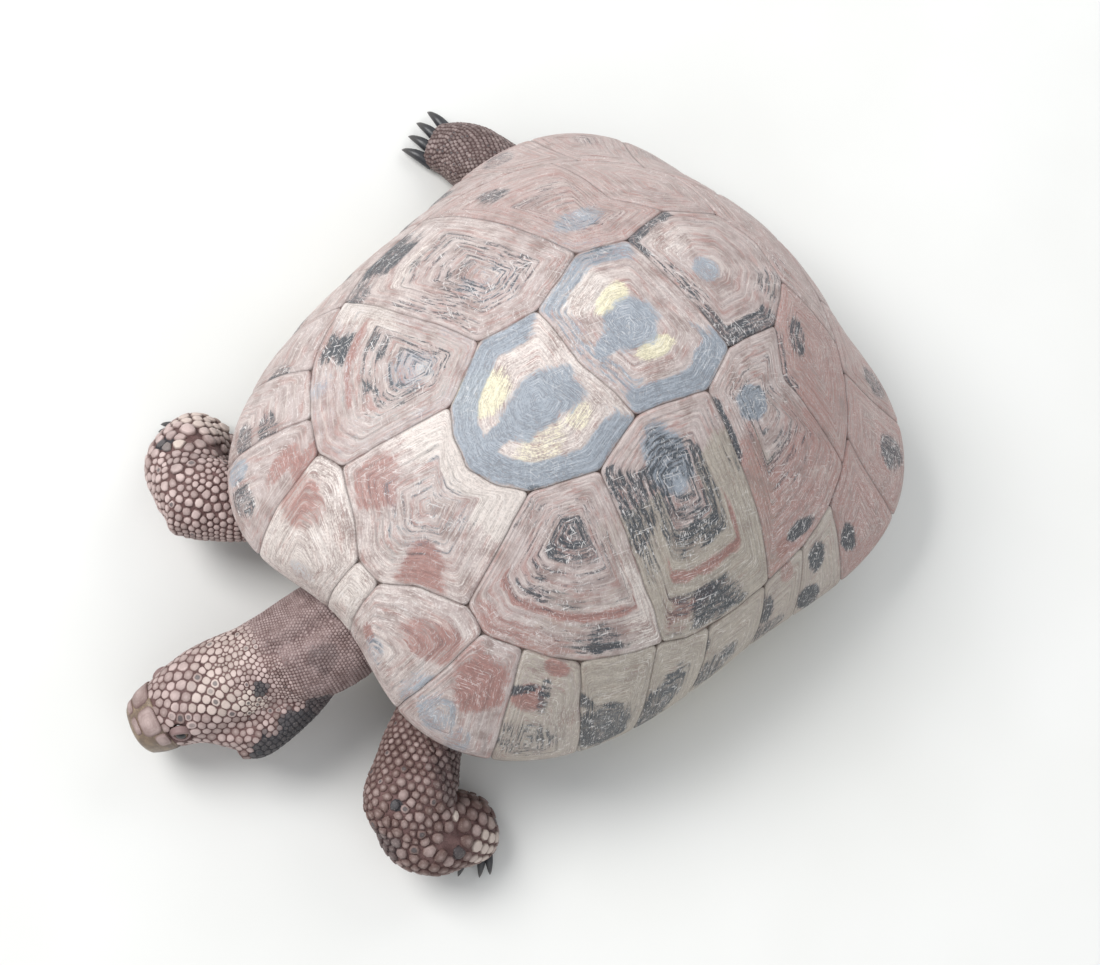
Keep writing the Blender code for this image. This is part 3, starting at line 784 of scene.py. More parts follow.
@dataclass(frozen=True)
class Spot:
    """An oval marking at a disc place, with half sizes along and across its turn."""

    pigment: Pigment
    a: float
    b: float
    along: float
    across: float
    turn: float = 0.0
    strength: float = 1.0
    streaked: float = 0.0

    def mask(self, place: Array, ring: Array, heading: Array, ragged: Array) -> Array:
        """Share of the marking at each point, with ragged edges.

        Args:
            place: disc places.
            ring: share of the way from the heart to the edge; not used.
            heading: degrees from the nose end; not used.
            ragged: noise that tears the edges.

        Returns:
            Share of the pigment.
        """
        angle = math.radians(self.turn)
        da, db = place[..., 0] - self.a, place[..., 1] - self.b
        u = (da * math.cos(angle) + db * math.sin(angle)) / self.along
        v = (db * math.cos(angle) - da * math.sin(angle)) / self.across
        return self.strength * smooth_step(1.0 - np.hypot(u, v) + ragged * 0.3, -0.28, 0.3)


def wash(pigment: Pigment, strength: float) -> Band:
    """A marking over a whole plate."""
    return Band(pigment, 0, 180, 0.0, 1.0, strength)


def ring(pigment: Pigment, inner: float, outer: float, strength: float, streaked: float = 0.0) -> Band:
    """A marking all round the heart, between two growth rings."""
    return Band(pigment, 0, 180, inner, outer, strength, streaked)


TAN, CREAM, BRICK, YELLOW, SLATE, DARK = Pigment

# Markings of each plate.  Where two of one pigment meet, the stronger one shows.
MARKS: dict = {
    "vertebral_1": [ring(DARK, 0.1, 0.75, 0.42, 0.9), wash(CREAM, 0.42), ring(SLATE, 0, 0.55, 0.42, 0.5),
        Spot(DARK, 0, -0.545, 0.13, 0.055, 0, 0.55, 0.6), Band(BRICK, 48, 24, 0.42, 0.97, 0.95, 0.2),
        Band(BRICK, -76, 24, 0.36, 0.9, 0.92, 0.3), ring(BRICK, 0.8, 1, 0.25, 0.5),
        Band(CREAM, 180, 72, 0.5, 1, 0.95), Band(CREAM, 0, 28, 0.3, 0.95, 0.55, 0.4),
        Band(CREAM, 112, 18, 0.5, 1, 0.5), Band(CREAM, -112, 18, 0.5, 1, 0.5),
        Band(DARK, 75, 20, 0.4, 0.8, 0.35, 0.7)],
    "vertebral_2": [wash(CREAM, 0.6), Spot(YELLOW, -0.13, -0.285, 0.075, 0.07, 0, 0.95),
        Spot(YELLOW, 0.105, -0.27, 0.06, 0.08, 0, 0.55), Spot(YELLOW, 0.11, -0.16, 0.04, 0.04, 0, 0.6),
        Band(SLATE, 0, 126, 0.7, 0.99, 1), Spot(SLATE, 0, -0.215, 0.078, 0.112, 0, 1),
        Spot(SLATE, 0.012, -0.165, 0.085, 0.055, 15, 1), Spot(SLATE, -0.005, -0.33, 0.034, 0.08, 0, 1),
        Spot(DARK, 0.172, -0.335, 0.022, 0.008, 40, 0.6)],
    "vertebral_3": [wash(CREAM, 0.3), Spot(CREAM, -0.17, 0.07, 0.085, 0.1, 0, 0.75),
        Spot(CREAM, 0.17, 0.08, 0.08, 0.08, 0, 0.4), Spot(YELLOW, -0.095, 0.115, 0.036, 0.065, 12, 1),
        Spot(YELLOW, 0.1, 0.11, 0.036, 0.065, -12, 1), Band(SLATE, 0, 62, 0.62, 0.97, 0.85, 0.7),
        Band(SLATE, 95, 46, 0.73, 0.99, 1), Band(SLATE, -95, 42, 0.76, 0.99, 0.95, 0.35),
        Band(DARK, -112, 12, 0.8, 1, 0.6, 0.5), Spot(SLATE, 0.005, 0.1, 0.086, 0.084, 0, 1),
        Spot(SLATE, 0.008, 0.022, 0.036, 0.055, 0, 1), Spot(SLATE, 0.205, 0.205, 0.03, 0.05, 20, 0.95)],
    "vertebral_4": [Band(BRICK, 180, 100, 0.2, 1, 0.3), Spot(CREAM, -0.14, 0.38, 0.07, 0.07, 0, 0.5),
        Band(DARK, 0, 50, 0.56, 0.98, 0.85, 0.75), Band(DARK, 76, 35, 0.74, 1, 0.97, 0.35),
        Band(DARK, 135, 17, 0.6, 1, 0.75, 0.65), Band(DARK, -78, 30, 0.86, 1, 0.85, 0.2),
        Band(DARK, -130, 13, 0.72, 0.96, 0.45, 0.8), Spot(SLATE, 0, 0.385, 0.045, 0.036, 0, 0.75)],
    "vertebral_5": [wash(BRICK, 0.4), Spot(DARK, 0.095, 0.615, 0.07, 0.025, -10, 0.55, 0.6)],
    "nuchal": [wash(CREAM, 0.75), Spot(BRICK, 0.01, -0.92, 0.02, 0.05, 0, 0.4)],
    "costal_left_1": [Band(TAN, 90, 60, 0.45, 1, 0.55, 0.3), ring(DARK, 0, 0.27, 1, 0.4),
        ring(DARK, 0.1, 0.62, 0.55, 0.9), Band(DARK, 60, 75, 0.3, 0.66, 0.72, 0.85),
        Band(BRICK, 45, 60, 0.625, 0.7, 1), Band(BRICK, 25, 32, 0.8, 1, 0.75, 0.4),
        Band(DARK, 77, 10, 0.71, 0.95, 0.95, 0.4), Band(DARK, 55, 19, 0.77, 0.95, 0.6, 0.6),
        Band(CREAM, 102, 12, 0.55, 1, 0.65), Band(DARK, -62, 16, 0.55, 0.97, 0.6, 0.7),
        Band(BRICK, 0, 40, 0.3, 0.6, 0.5, 0.5), Band(BRICK, 20, 60, 0.72, 1, 0.45, 0.6)],
    "costal_left_2": [Band(TAN, 90, 100, 0.3, 1, 0.85), Spot(SLATE, 0.355, -0.04, 0.1, 0.06, 0, 1),
        Spot(DARK, 0.345, -0.04, 0.085, 0.046, 0, 0.8, 0.6), ring(DARK, 0.1, 0.5, 0.9, 0.5),
        Band(DARK, 88, 48, 0.3, 0.44, 1, 0.4), Band(DARK, -8, 38, 0.5, 0.99, 1, 0.45),
        Band(DARK, 28, 16, 0.62, 0.95, 0.75, 0.6), Band(BRICK, 90, 40, 0.555, 0.635, 1),
        Band(DARK, 82, 15, 0.7, 0.98, 1, 0.25), Band(BRICK, 63, 10, 0.72, 0.95, 0.9, 0.5),
        Band(DARK, 63, 12, 0.7, 0.98, 0.6, 0.6), Spot(BRICK, 0.69, -0.12, 0.025, 0.045, 0, 0.85),
        Band(DARK, 180, 30, 0.8, 1, 0.5, 0.7)],
    "costal_left_3": [Band(BRICK, 90, 58, 0.36, 1, 0.62), Band(TAN, 62, 16, 0.3, 1, 0.8, 0.4),
        ring(DARK, 0.1, 0.6, 0.6, 0.85), Band(DARK, 120, 60, 0.3, 0.6, 0.6, 0.8),
        Spot(SLATE, 0.372, 0.252, 0.046, 0.05, 0, 1), Spot(DARK, 0.372, 0.252, 0.04, 0.043, 0, 0.6, 0.5),
        Band(DARK, 5, 36, 0.87, 1, 0.95, 0.15), Spot(DARK, 0.722, 0.245, 0.024, 0.06, 0, 0.95),
        Spot(BRICK, 0.735, 0.165, 0.03, 0.03, 0, 0.9), Spot(CREAM, 0.63, 0.37, 0.05, 0.022, 60, 0.7)],
    "costal_left_4": [wash(BRICK, 0.6), Spot(DARK, 0.285, 0.495, 0.065, 0.028, -30, 0.9, 0.4),
        Band(DARK, -5, 42, 0.84, 1, 0.75, 0.5)],
    "costal_right_1": [ring(DARK, 0, 0.55, 0.76, 0.8), ring(TAN, 0.2, 0.8, 0.5, 0.4),
        Spot(SLATE, -0.33, -0.33, 0.07, 0.06, 0, 0.8, 0.4), ring(SLATE, 0.3, 1, 0.36, 0.4),
        Band(BRICK, -90, 70, 0.55, 1, 0.24, 0.3), Spot(CREAM, -0.3, -0.318, 0.035, 0.02, -20, 0.7),
        Band(BRICK, -58, 42, 0.6, 0.675, 0.85), Band(BRICK, -28, 30, 0.7, 0.92, 0.55, 0.4),
        Band(DARK, -77, 10, 0.69, 0.93, 0.92, 0.1), Band(SLATE, 60, 26, 0.3, 0.92, 0.42, 0.8),
        Band(CREAM, -102, 12, 0.5, 1, 0.75), Spot(SLATE, -0.5, -0.47, 0.03, 0.03, 0, 0.5),
        Band(BRICK, -10, 20, 0.3, 1, 0.3)],
    "costal_right_2": [Band(CREAM, -90, 60, 0.45, 1, 0.35),
        Spot(SLATE, -0.39, -0.045, 0.095, 0.08, 0, 0.75, 0.75),
        Spot(DARK, -0.48, -0.05, 0.022, 0.045, 0, 0.65, 0.3), Band(DARK, 2, 42, 0.5, 0.93, 0.66, 0.8),
        ring(DARK, 0.1, 0.6, 0.7, 0.85), Band(DARK, -84, 15, 0.72, 0.99, 0.9, 0.1),
        Band(DARK, -60, 9, 0.8, 1, 0.7, 0.3), Band(CREAM, -74, 26, 0.54, 0.68, 0.7, 0.2),
        Band(DARK, 180, 52, 0.93, 1, 0.5, 0.3)],
    "costal_right_3": [wash(BRICK, 0.45), Spot(SLATE, -0.365, 0.255, 0.046, 0.078, -20, 0.85, 0.3),
        ring(DARK, 0.15, 0.55, 0.5, 0.9), Spot(DARK, -0.65, 0.225, 0.045, 0.05, 0, 0.75, 0.2),
        Band(SLATE, 25, 50, 0.76, 1, 0.55, 0.6)],
    "costal_right_4": [wash(BRICK, 0.4), Spot(SLATE, -0.29, 0.485, 0.07, 0.022, 20, 0.4, 0.4)],
    "marginal_left_1": [wash(CREAM, 0.4), ring(DARK, 0.25, 0.85, 0.36, 0.9),
        Spot(BRICK, 0.126, -0.868, 0.032, 0.027, -20, 0.85),
        Spot(SLATE, 0.18, -0.885, 0.046, 0.052, 0, 0.75, 0.5),
        Spot(DARK, 0.184, -0.885, 0.042, 0.046, 0, 0.5, 0.8),
        Spot(BRICK, 0.268, -0.705, 0.115, 0.05, 32, 0.95, 0.4),
        Spot(SLATE, 0.347, -0.818, 0.045, 0.08, 0, 0.75, 0.4)],
    "marginal_right_1": [wash(CREAM, 0.62), Spot(BRICK, -0.295, -0.7, 0.09, 0.07, -20, 0.9, 0.4),
        Spot(SLATE, -0.18, -0.885, 0.05, 0.04, 0, 0.45)],
    "marginal_left_2": [Spot(BRICK, 0.45, -0.655, 0.08, 0.075, 0, 1, 0.1),
        Spot(BRICK, 0.37, -0.64, 0.04, 0.05, 0, 0.8, 0.3),
        Spot(SLATE, 0.44, -0.8, 0.07, 0.06, 20, 0.8, 0.3),
        Spot(SLATE, 0.55, -0.8, 0.045, 0.06, 20, 0.65, 0.5)],
    "marginal_right_2": [Spot(BRICK, -0.36, -0.61, 0.045, 0.07, 0, 0.95, 0.3),
        Spot(BRICK, -0.425, -0.655, 0.032, 0.065, 0, 0.75),
        Spot(SLATE, -0.575, -0.74, 0.05, 0.045, 0, 0.9, 0.3),
        Spot(DARK, -0.49, -0.79, 0.075, 0.045, -20, 0.85, 0.4)],
    "marginal_left_3": [wash(TAN, 0.7), Spot(BRICK, 0.565, -0.575, 0.05, 0.035, 30, 0.95),
        Spot(BRICK, 0.55, -0.49, 0.04, 0.02, 30, 0.9), Spot(DARK, 0.52, -0.6, 0.014, 0.07, -35, 1, 0.2),
        Spot(DARK, 0.665, -0.64, 0.11, 0.05, 40, 0.75, 0.6),
        Spot(DARK, 0.59, -0.545, 0.05, 0.018, -40, 0.9, 0.4)],
    "marginal_right_3": [Spot(DARK, -0.625, -0.665, 0.07, 0.035, -35, 0.75, 0.2), ring(BRICK, 0, 0.5, 0.3),
        Spot(DARK, -0.555, -0.605, 0.06, 0.035, -35, 0.85, 0.5)],
    "marginal_left_4": [wash(TAN, 0.85), Spot(DARK, 0.79, -0.48, 0.12, 0.07, 50, 1, 0.3),
        Spot(DARK, 0.655, -0.49, 0.07, 0.02, 25, 1, 0.2)],
    "marginal_right_4": [Spot(DARK, -0.68, -0.505, 0.055, 0.05, 0, 0.75, 0.3)],
    "marginal_left_5": [wash(TAN, 0.85), Spot(DARK, 0.88, -0.32, 0.06, 0.12, 20, 0.95, 0.4),
        Spot(DARK, 0.755, -0.34, 0.05, 0.02, 20, 0.55, 0.5)],
    "marginal_left_6": [wash(TAN, 0.8), Spot(DARK, 0.815, -0.15, 0.05, 0.026, 0, 1, 0.2),
        Spot(DARK, 0.93, -0.12, 0.045, 0.11, 0, 0.9, 0.4)],
    "marginal_left_7": [wash(TAN, 0.7), Spot(DARK, 0.885, 0.085, 0.05, 0.028, 0, 0.9, 0.3),
        Spot(DARK, 0.955, 0.09, 0.03, 0.09, 0, 0.85, 0.4), Spot(BRICK, 0.81, 0.165, 0.03, 0.03, 0, 0.7)],
    "marginal_left_8": [wash(TAN, 0.65), Spot(DARK, 0.825, 0.29, 0.045, 0.035, 0, 0.9),
        Spot(DARK, 0.93, 0.265, 0.035, 0.045, 0, 0.92)],
    "marginal_left_9": [wash(BRICK, 0.6), Spot(DARK, 0.82, 0.425, 0.035, 0.03, 0, 0.92)],
    "marginal_left_10": [wash(BRICK, 0.55), Spot(DARK, 0.66, 0.69, 0.04, 0.055, 40, 0.8, 0.2)],
    "marginal_left_11": [wash(BRICK, 0.5), Spot(DARK, 0.49, 0.8, 0.05, 0.05, 60, 0.7, 0.2)],
    "supracaudal_left": [wash(BRICK, 0.45), Spot(DARK, 0.18, 0.86, 0.07, 0.04, 80, 0.55, 0.3)],
    "marginal_right_5": [wash(CREAM, 0.3), Spot(DARK, -0.9, -0.34, 0.06, 0.05, -20, 0.75, 0.2)],
    "marginal_right_6": [wash(CREAM, 0.3), Spot(DARK, -0.93, -0.16, 0.07, 0.045, 0, 0.8, 0.2)],
    "marginal_right_7": [wash(CREAM, 0.25), Spot(DARK, -0.91, 0.1, 0.06, 0.035, 0, 0.75, 0.2)],
    "marginal_right_8": [wash(BRICK, 0.3), Spot(DARK, -0.92, 0.28, 0.06, 0.045, 0, 0.75, 0.2)],
    "marginal_right_9": [wash(BRICK, 0.4), Spot(DARK, -0.825, 0.465, 0.045, 0.06, 0, 0.6, 0.3)],
    "marginal_right_10": [wash(BRICK, 0.4), Spot(DARK, -0.66, 0.69, 0.03, 0.05, -40, 0.5, 0.3)],
    "marginal_right_11": [wash(BRICK, 0.4), Spot(DARK, -0.5, 0.8, 0.04, 0.05, -60, 0.5, 0.3)],
    "supracaudal_right": [wash(BRICK, 0.45), Spot(DARK, -0.16, 0.87, 0.05, 0.04, -80, 0.4, 0.3)],
}


# ---- horn plates ----

@dataclass
class HornPlate:
    """One horn plate: a crowned cell of the dome with growth rings round its heart."""

    node: str
    outline: list
    heart: tuple
    rings: float
    areola: float = 0.18
    fine: bool = True
    thickness: float = 2.1 * MM
    crown: float = 0.49 * MM
    seam_gap: float = 0.1 * MM
    seam_depth: float = 0.38 * MM
    seam_width: float = 0.62 * MM
    ring_depth: float = 0.25 * MM
    rounding: float = 1.6 * MM
    fine_spacing: tuple = (0.8 * MM, 0.42 * MM)
    plain_spacing: tuple = (1.0 * MM, 0.55 * MM)
    corner_steps: int = 64
    seam_wave: float = 0.0045
    underside: float = 0.3 * MM
    fine_rings: float = 3.4

    def seed(self) -> int:
        """A number of the plate's own, for its noise."""
        return sum(ord(letter) * (k + 3) for k, letter in enumerate(self.node)) % 997

    def border(self, count: int) -> Array:
        """Even places round the outline, with small waves in the seams and rounded corners.

        Args:
            count: number of places.

        Returns:
            The places on the disc.
        """
        corners = np.array(self.outline, float)
        steps = np.linspace(0.0, 1.0, self.corner_steps, endpoint=False)[:, None]
        following = np.roll(corners, -1, axis=0)
        dense = np.concatenate([p + (q - p) * steps for p, q in zip(corners, following)])
        inside = np.linalg.norm(dense, axis=1, keepdims=True) < 0.995
        flat = np.concatenate([dense, np.zeros((len(dense), 1))], axis=1)
        wave = np.stack([fractal(flat, 16.0, 2, 5), fractal(flat, 16.0, 2, 9)], axis=1)
        dense = dense + wave * self.seam_wave * inside
        closed = np.vstack([dense, dense[:1]])
        along = np.concatenate([[0.0], np.cumsum(lengths(DOME.point(closed)))])
        even = walk(np.linspace(0.0, along[-1], count, endpoint=False), along, closed)
        reach = max(1, round(self.rounding / (along[-1] / count)))
        shifts = range(-reach, reach + 1)
        return sum(np.roll(even, k, axis=0) for k in shifts) / len(shifts)

    def build(self) -> MeshData:
        """The plate's mesh.

        A point is heart + f (outline - heart), with f from 0 to 1, lifted along the normal by
        crown (1 - f^2) - seam drop - ring grooves.  The grooves lie where the warped ring
        count is whole.  The sides go down by the thickness and the underside is closed.

        Returns:
            The closed mesh with its pigments and ring lines as values.
        """
        heart = np.array(self.heart, float)
        rough = self.border(96)
        perimeter = lengths(DOME.point(np.vstack([rough, rough[:1]]))).sum()
        radius = np.linalg.norm(DOME.point(rough) - DOME.point(heart), axis=1).mean()
        around, inward = self.fine_spacing if self.fine else self.plain_spacing
        columns, rows = int(perimeter / around), int(radius / inward)
        edge = self.border(columns)
        reach = np.linalg.norm(DOME.point(edge) - DOME.point(heart), axis=1)
        edge = heart + (edge - heart) * (1.0 - self.seam_gap / 2 / reach)[:, None]
        ring = np.linspace(0.0, 1.0, rows + 1)[1:]
        ring = ring * 1.12 - 0.12 * ring ** 2
        ring = ring / ring[-1]
        place = heart + ring[:, None, None] * (edge - heart)
        tangent = unit(DOME.point(np.roll(edge, -1, axis=0)) - DOME.point(np.roll(edge, 1, axis=0)))
        ray = unit(DOME.point(edge) - DOME.point(heart))
        slant = np.sqrt(np.clip(1.0 - (tangent * ray).sum(axis=1) ** 2, 0.05, 1.0))
        inset = (1.0 - ring)[:, None] * (reach * slant)[None, :]
        f = np.broadcast_to(ring[:, None], inset.shape)
        offset = place - heart
        heading = np.degrees(np.arctan2(offset[..., 0], -offset[..., 1]))
        point, normal = DOME.point(place), DOME.normal(place)
        growth = np.stack([f * radius, f * radius * np.sin(np.radians(heading)),
                           f * radius * np.cos(np.radians(heading))], axis=-1)
        grooves, lines = self.growth_rings(f, growth, point)
        rim_edge = np.linalg.norm(edge, axis=1) > 0.97
        drop_width = np.where(rim_edge, 1.3 * self.seam_width, self.seam_width)
        drop = self.seam_depth * bump_at(inset, drop_width[None, :])
        waves = fractal(point, 90.0, 3, 11) * 0.22 * MM
        lift = self.crown * (1.0 - f ** 2) - drop - grooves + waves * smooth_step(inset, 0.0, 3 * MM)
        top = point + normal * lift[..., None]
        side = [point[-1] + normal[-1] * (lift[-1] - depth)[:, None] for depth in
                (0.35 * self.thickness, 0.8 * self.thickness, self.thickness)]
        deep = self.thickness + self.underside
        below = [DOME.under(edge + (heart - edge) * share, deep) for share in (0.06, 0.5)]
        shelves = np.stack(side + below)
        crest = DOME.under(heart, -lift[0].mean())[None]
        base = DOME.under(heart, deep)[None]
        points = np.concatenate([top.reshape(-1, 3), shelves.reshape(-1, 3), crest, base])
        total = rows + len(shelves)
        marks = self.markings(place, f, heading, growth, point, lines)
        marks["edge"] = smooth_step(inset, 1.1 * MM, 0.0)
        marks["lines"] = lines
        marks["growth"] = growth / MM
        values = {key: self.padded(value, len(shelves)) for key, value in marks.items()}
        return MeshData(points, grid_quads(total, columns), caps(total, columns), values).outward()

    def padded(self, value: Array, shelves: int) -> Array:
        """Values of the top, carried down the sides and to both centre points.

        Args:
            value: values of the top, row by row.
            shelves: rows below the top.

        Returns:
            A value for each point.
        """
        tail = value.shape[2:]
        lower = np.repeat(value[-1:], shelves, axis=0)
        flat = np.concatenate([value, lower]).reshape(-1, *tail)
        return np.concatenate([flat, value[0].mean(axis=0)[None], value[-1].mean(axis=0)[None]])

    def growth_rings(self, f: Array, growth: Array, point: Array) -> tuple:
        """Depth of the ring grooves, and their darkness from 0 to 1.

        Args:
            f: share of the way from the heart to the edge.
            growth: place along the rings, for noise.
            point: places on the dome.

        Returns:
            Depth in metres, and darkness.
        """
        seed = self.seed()
        bend = 0.03 * fractal(growth, 90.0, 2, seed) + 0.012 * noise(growth, 400.0, seed + 3)
        g = f + bend * smooth_step(f, 0.05, 0.4) * smooth_step(f, 1.0, 0.9)
        count = self.rings * np.clip((g - self.areola) / (1.0 - self.areola), 0.0, None) ** 0.92
        whole = np.round(count)
        away = np.abs(count - whole)
        cell = np.stack([whole * 3.7 + seed, np.zeros_like(whole), np.zeros_like(whole)], axis=-1)
        depth = 0.35 + 0.65 * lattice(cell, 3)
        fade = 0.55 + 0.45 * noise(np.stack([whole * 5.0, growth[..., 1] * 120, growth[..., 2] * 120],
                                            axis=-1), 1.0, seed)
        strong = bump_at(away, 0.17) * depth * fade * smooth_step(g, self.areola * 0.99, self.areola * 1.04)
        fine_count = count * self.fine_rings
        fine = bump_at(np.abs(fine_count - np.round(fine_count)), 0.25) * 0.25
        fine = fine * (0.5 + 0.5 * noise(growth * [2.5, 0.5, 0.5], 420.0, seed + 8))
        calm = smooth_step(f, 1.0, 0.93)
        pits = (1.0 - smooth_step(f, self.areola * 0.8, self.areola * 1.3))
        pits = pits * 0.35 * np.clip(noise(point, 900.0, seed + 2), 0.0, 1.0)
        groove = (strong + fine * (g > self.areola)) * calm
        return (groove + pits) * self.ring_depth, np.clip(strong + 0.6 * fine, 0.0, 1.0)

    def markings(self, place: Array, f: Array, heading: Array, growth: Array, point: Array,
                 lines: Array) -> dict:
        """Share of each pigment, 0 to 1, with ragged edges and breaks along the rings.

        Args:
            place: disc places.
            f: share of the way from the heart to the edge.
            heading: degrees from the nose end.
            growth: place along the rings, for noise.
            point: places on the dome.
            lines: darkness of the ring grooves.

        Returns:
            A share for each pigment name.
        """
        seed = self.seed()
        along = growth * np.array([1.0, 0.16, 0.16])
        streak = fractal(along, 1500.0, 3, seed + 20)
        ragged = 0.85 * fractal(point, 240.0, 4, seed + 21) + 0.5 * streak
        stripe = smooth_step(streak + 0.7 * (lines - 0.25), -0.35, 0.35)
        found = {pigment: np.zeros_like(f) for pigment in Pigment}
        for mark in MARKS.get(self.node, []):
            share = mark.mask(place, f, heading, ragged) * (1.0 - mark.streaked * (1.0 - stripe))
            found[mark.pigment] = np.maximum(found[mark.pigment], share)
        return {pigment.value: np.clip(share, 0.0, 1.0) for pigment, share in found.items()}


@dataclass(frozen=True)
class HornFinish:
    """Worn horn: a pinkish ground with pigments in it, scratched along the growth rings."""

    ground: tuple = shade(190, 175, 171)
    shadow: tuple = shade(146, 127, 122)
    brick: tuple = shade(167, 122, 114)
    tan: tuple = shade(182, 172, 158)
    cream: tuple = shade(230, 219, 211)
    yellow: tuple = shade(236, 227, 196)
    slate: tuple = shade(156, 164, 174)
    dark: tuple = shade(58, 66, 74)
    scratch: tuple = shade(242, 237, 234)
    groove: tuple = shade(84, 76, 75)

    def hairs(self, recipe: Recipe, turn: float, seed: float) -> Socket:
        """Fine straight scratches in one direction, 0 to 1.

        Args:
            recipe: the material under construction.
            turn: direction in degrees.
            seed: shifts the pattern.

        Returns:
            Strength of the scratches.
        """
        node = recipe.tree.nodes.new("ShaderNodeMapping")
        recipe.put(node.inputs["Vector"], recipe.object_place)
        node.inputs["Rotation"].default_value = (0.25 * seed, 0.15 * seed, math.radians(turn))
        node.inputs["Location"].default_value = (seed, 0.7 * seed, 0.3 * seed)
        line = recipe.noise(recipe.stretched(node.outputs[0], (2400.0, 120.0, 480.0)), 1.0, 2.0, 0.5)
        return recipe.ramp(line, 0.64, 0.7)

    def material(self) -> bpy.types.Material:
        """The node material.

        Returns:
            The material.
        """
        recipe = Recipe("shell_horn", 0.46, 0.45)
        growth = recipe.attribute("growth", vector=True)
        long_streak = recipe.noise(recipe.stretched(growth, (1.2, 0.1, 0.1)), 1.0, 4.0, 0.6)
        fine_streak = recipe.noise(recipe.stretched(growth, (3.6, 0.34, 0.34)), 1.0, 4.0, 0.65)
        mottle = recipe.grain(150.0, 5.0, 0.6)
        grain = recipe.grain(1500.0, 4.0, 0.65)
        worn = recipe.grain(38.0, 3.0, 0.5)
        colour = recipe.mix(recipe.ramp(mottle, 0.3, 0.62), self.shadow, self.ground)
        colour = recipe.lay(colour, self.cream, long_streak, 0.46, 0.68, 0.0, 0.4)
        stain = recipe.noise(recipe.stretched(growth, (0.55, 0.11, 0.11)), 1.0, 4.0, 0.6)
        colour = recipe.lay(colour, self.brick, stain, 0.5, 0.68, 0.0, 0.55)
        colour = recipe.lay(colour, self.shadow, grain, 0.3, 0.46, 0.4, 0.0)
        rest = recipe.plus(recipe.times(grain, 0.3), recipe.times(mottle, 0.2))
        mixed = recipe.plus(recipe.times(fine_streak, 0.5), rest)
        broken = recipe.times(recipe.math("SUBTRACT", mixed, 0.5), 3.2)
        pigments = ((TAN, self.tan, 0.9), (CREAM, self.cream, 0.85), (BRICK, self.brick, 0.9),
                    (YELLOW, self.yellow, 0.95), (SLATE, self.slate, 0.95), (DARK, self.dark, 0.95))
        for pigment, tint, strength in pigments:
            given = recipe.attribute(pigment.value)
            share = recipe.ramp(recipe.plus(given, broken), 0.3, 0.85)
            share = recipe.times(share, recipe.ramp(given, 0.0, 0.22, 0.0, strength))
            deep = tuple(0.62 * part for part in tint[:3]) + (1.0,)
            colour = recipe.mix(share, colour, recipe.mix(recipe.ramp(mixed, 0.42, 0.56), deep, tint))
        rubbed = recipe.ramp(worn, 0.4, 0.62, 0.3, 1.0)
        chafe = recipe.times(recipe.ramp(fine_streak, 0.56, 0.68, 0.0, 0.62), rubbed)
        colour = recipe.mix(chafe, colour, self.scratch)
        inked = recipe.ramp(recipe.attribute("dark"), 0.1, 0.7)
        lines = recipe.times(recipe.attribute("lines"), recipe.ramp(fine_streak, 0.34, 0.56, 0.15, 0.85))
        kept = recipe.plus(recipe.ramp(mottle, 0.4, 0.62, 0.16, 0.85), recipe.times(inked, 0.4))
        lines = recipe.times(lines, kept)
        colour = recipe.mix(lines, colour, self.groove)
        shown = recipe.plus(recipe.times(rubbed, 0.32), recipe.times(inked, 0.35))
        for turn, seed in ((20.0, 1.0), (75.0, 2.0), (128.0, 3.0), (165.0, 4.0)):
            line = recipe.times(self.hairs(recipe, turn, seed), shown)
            colour = recipe.mix(line, colour, self.scratch)
        colour = recipe.lay(colour, self.groove, recipe.attribute("edge"), 0.5, 1.0, 0.0, 0.24)
        rough = recipe.ramp(mottle, 0.3, 0.7, 0.36, 0.56)
        height = recipe.plus(recipe.times(fine_streak, 0.7), recipe.times(grain, 0.35))
        return recipe.finish(colour, rough, height, 0.2 * MM)


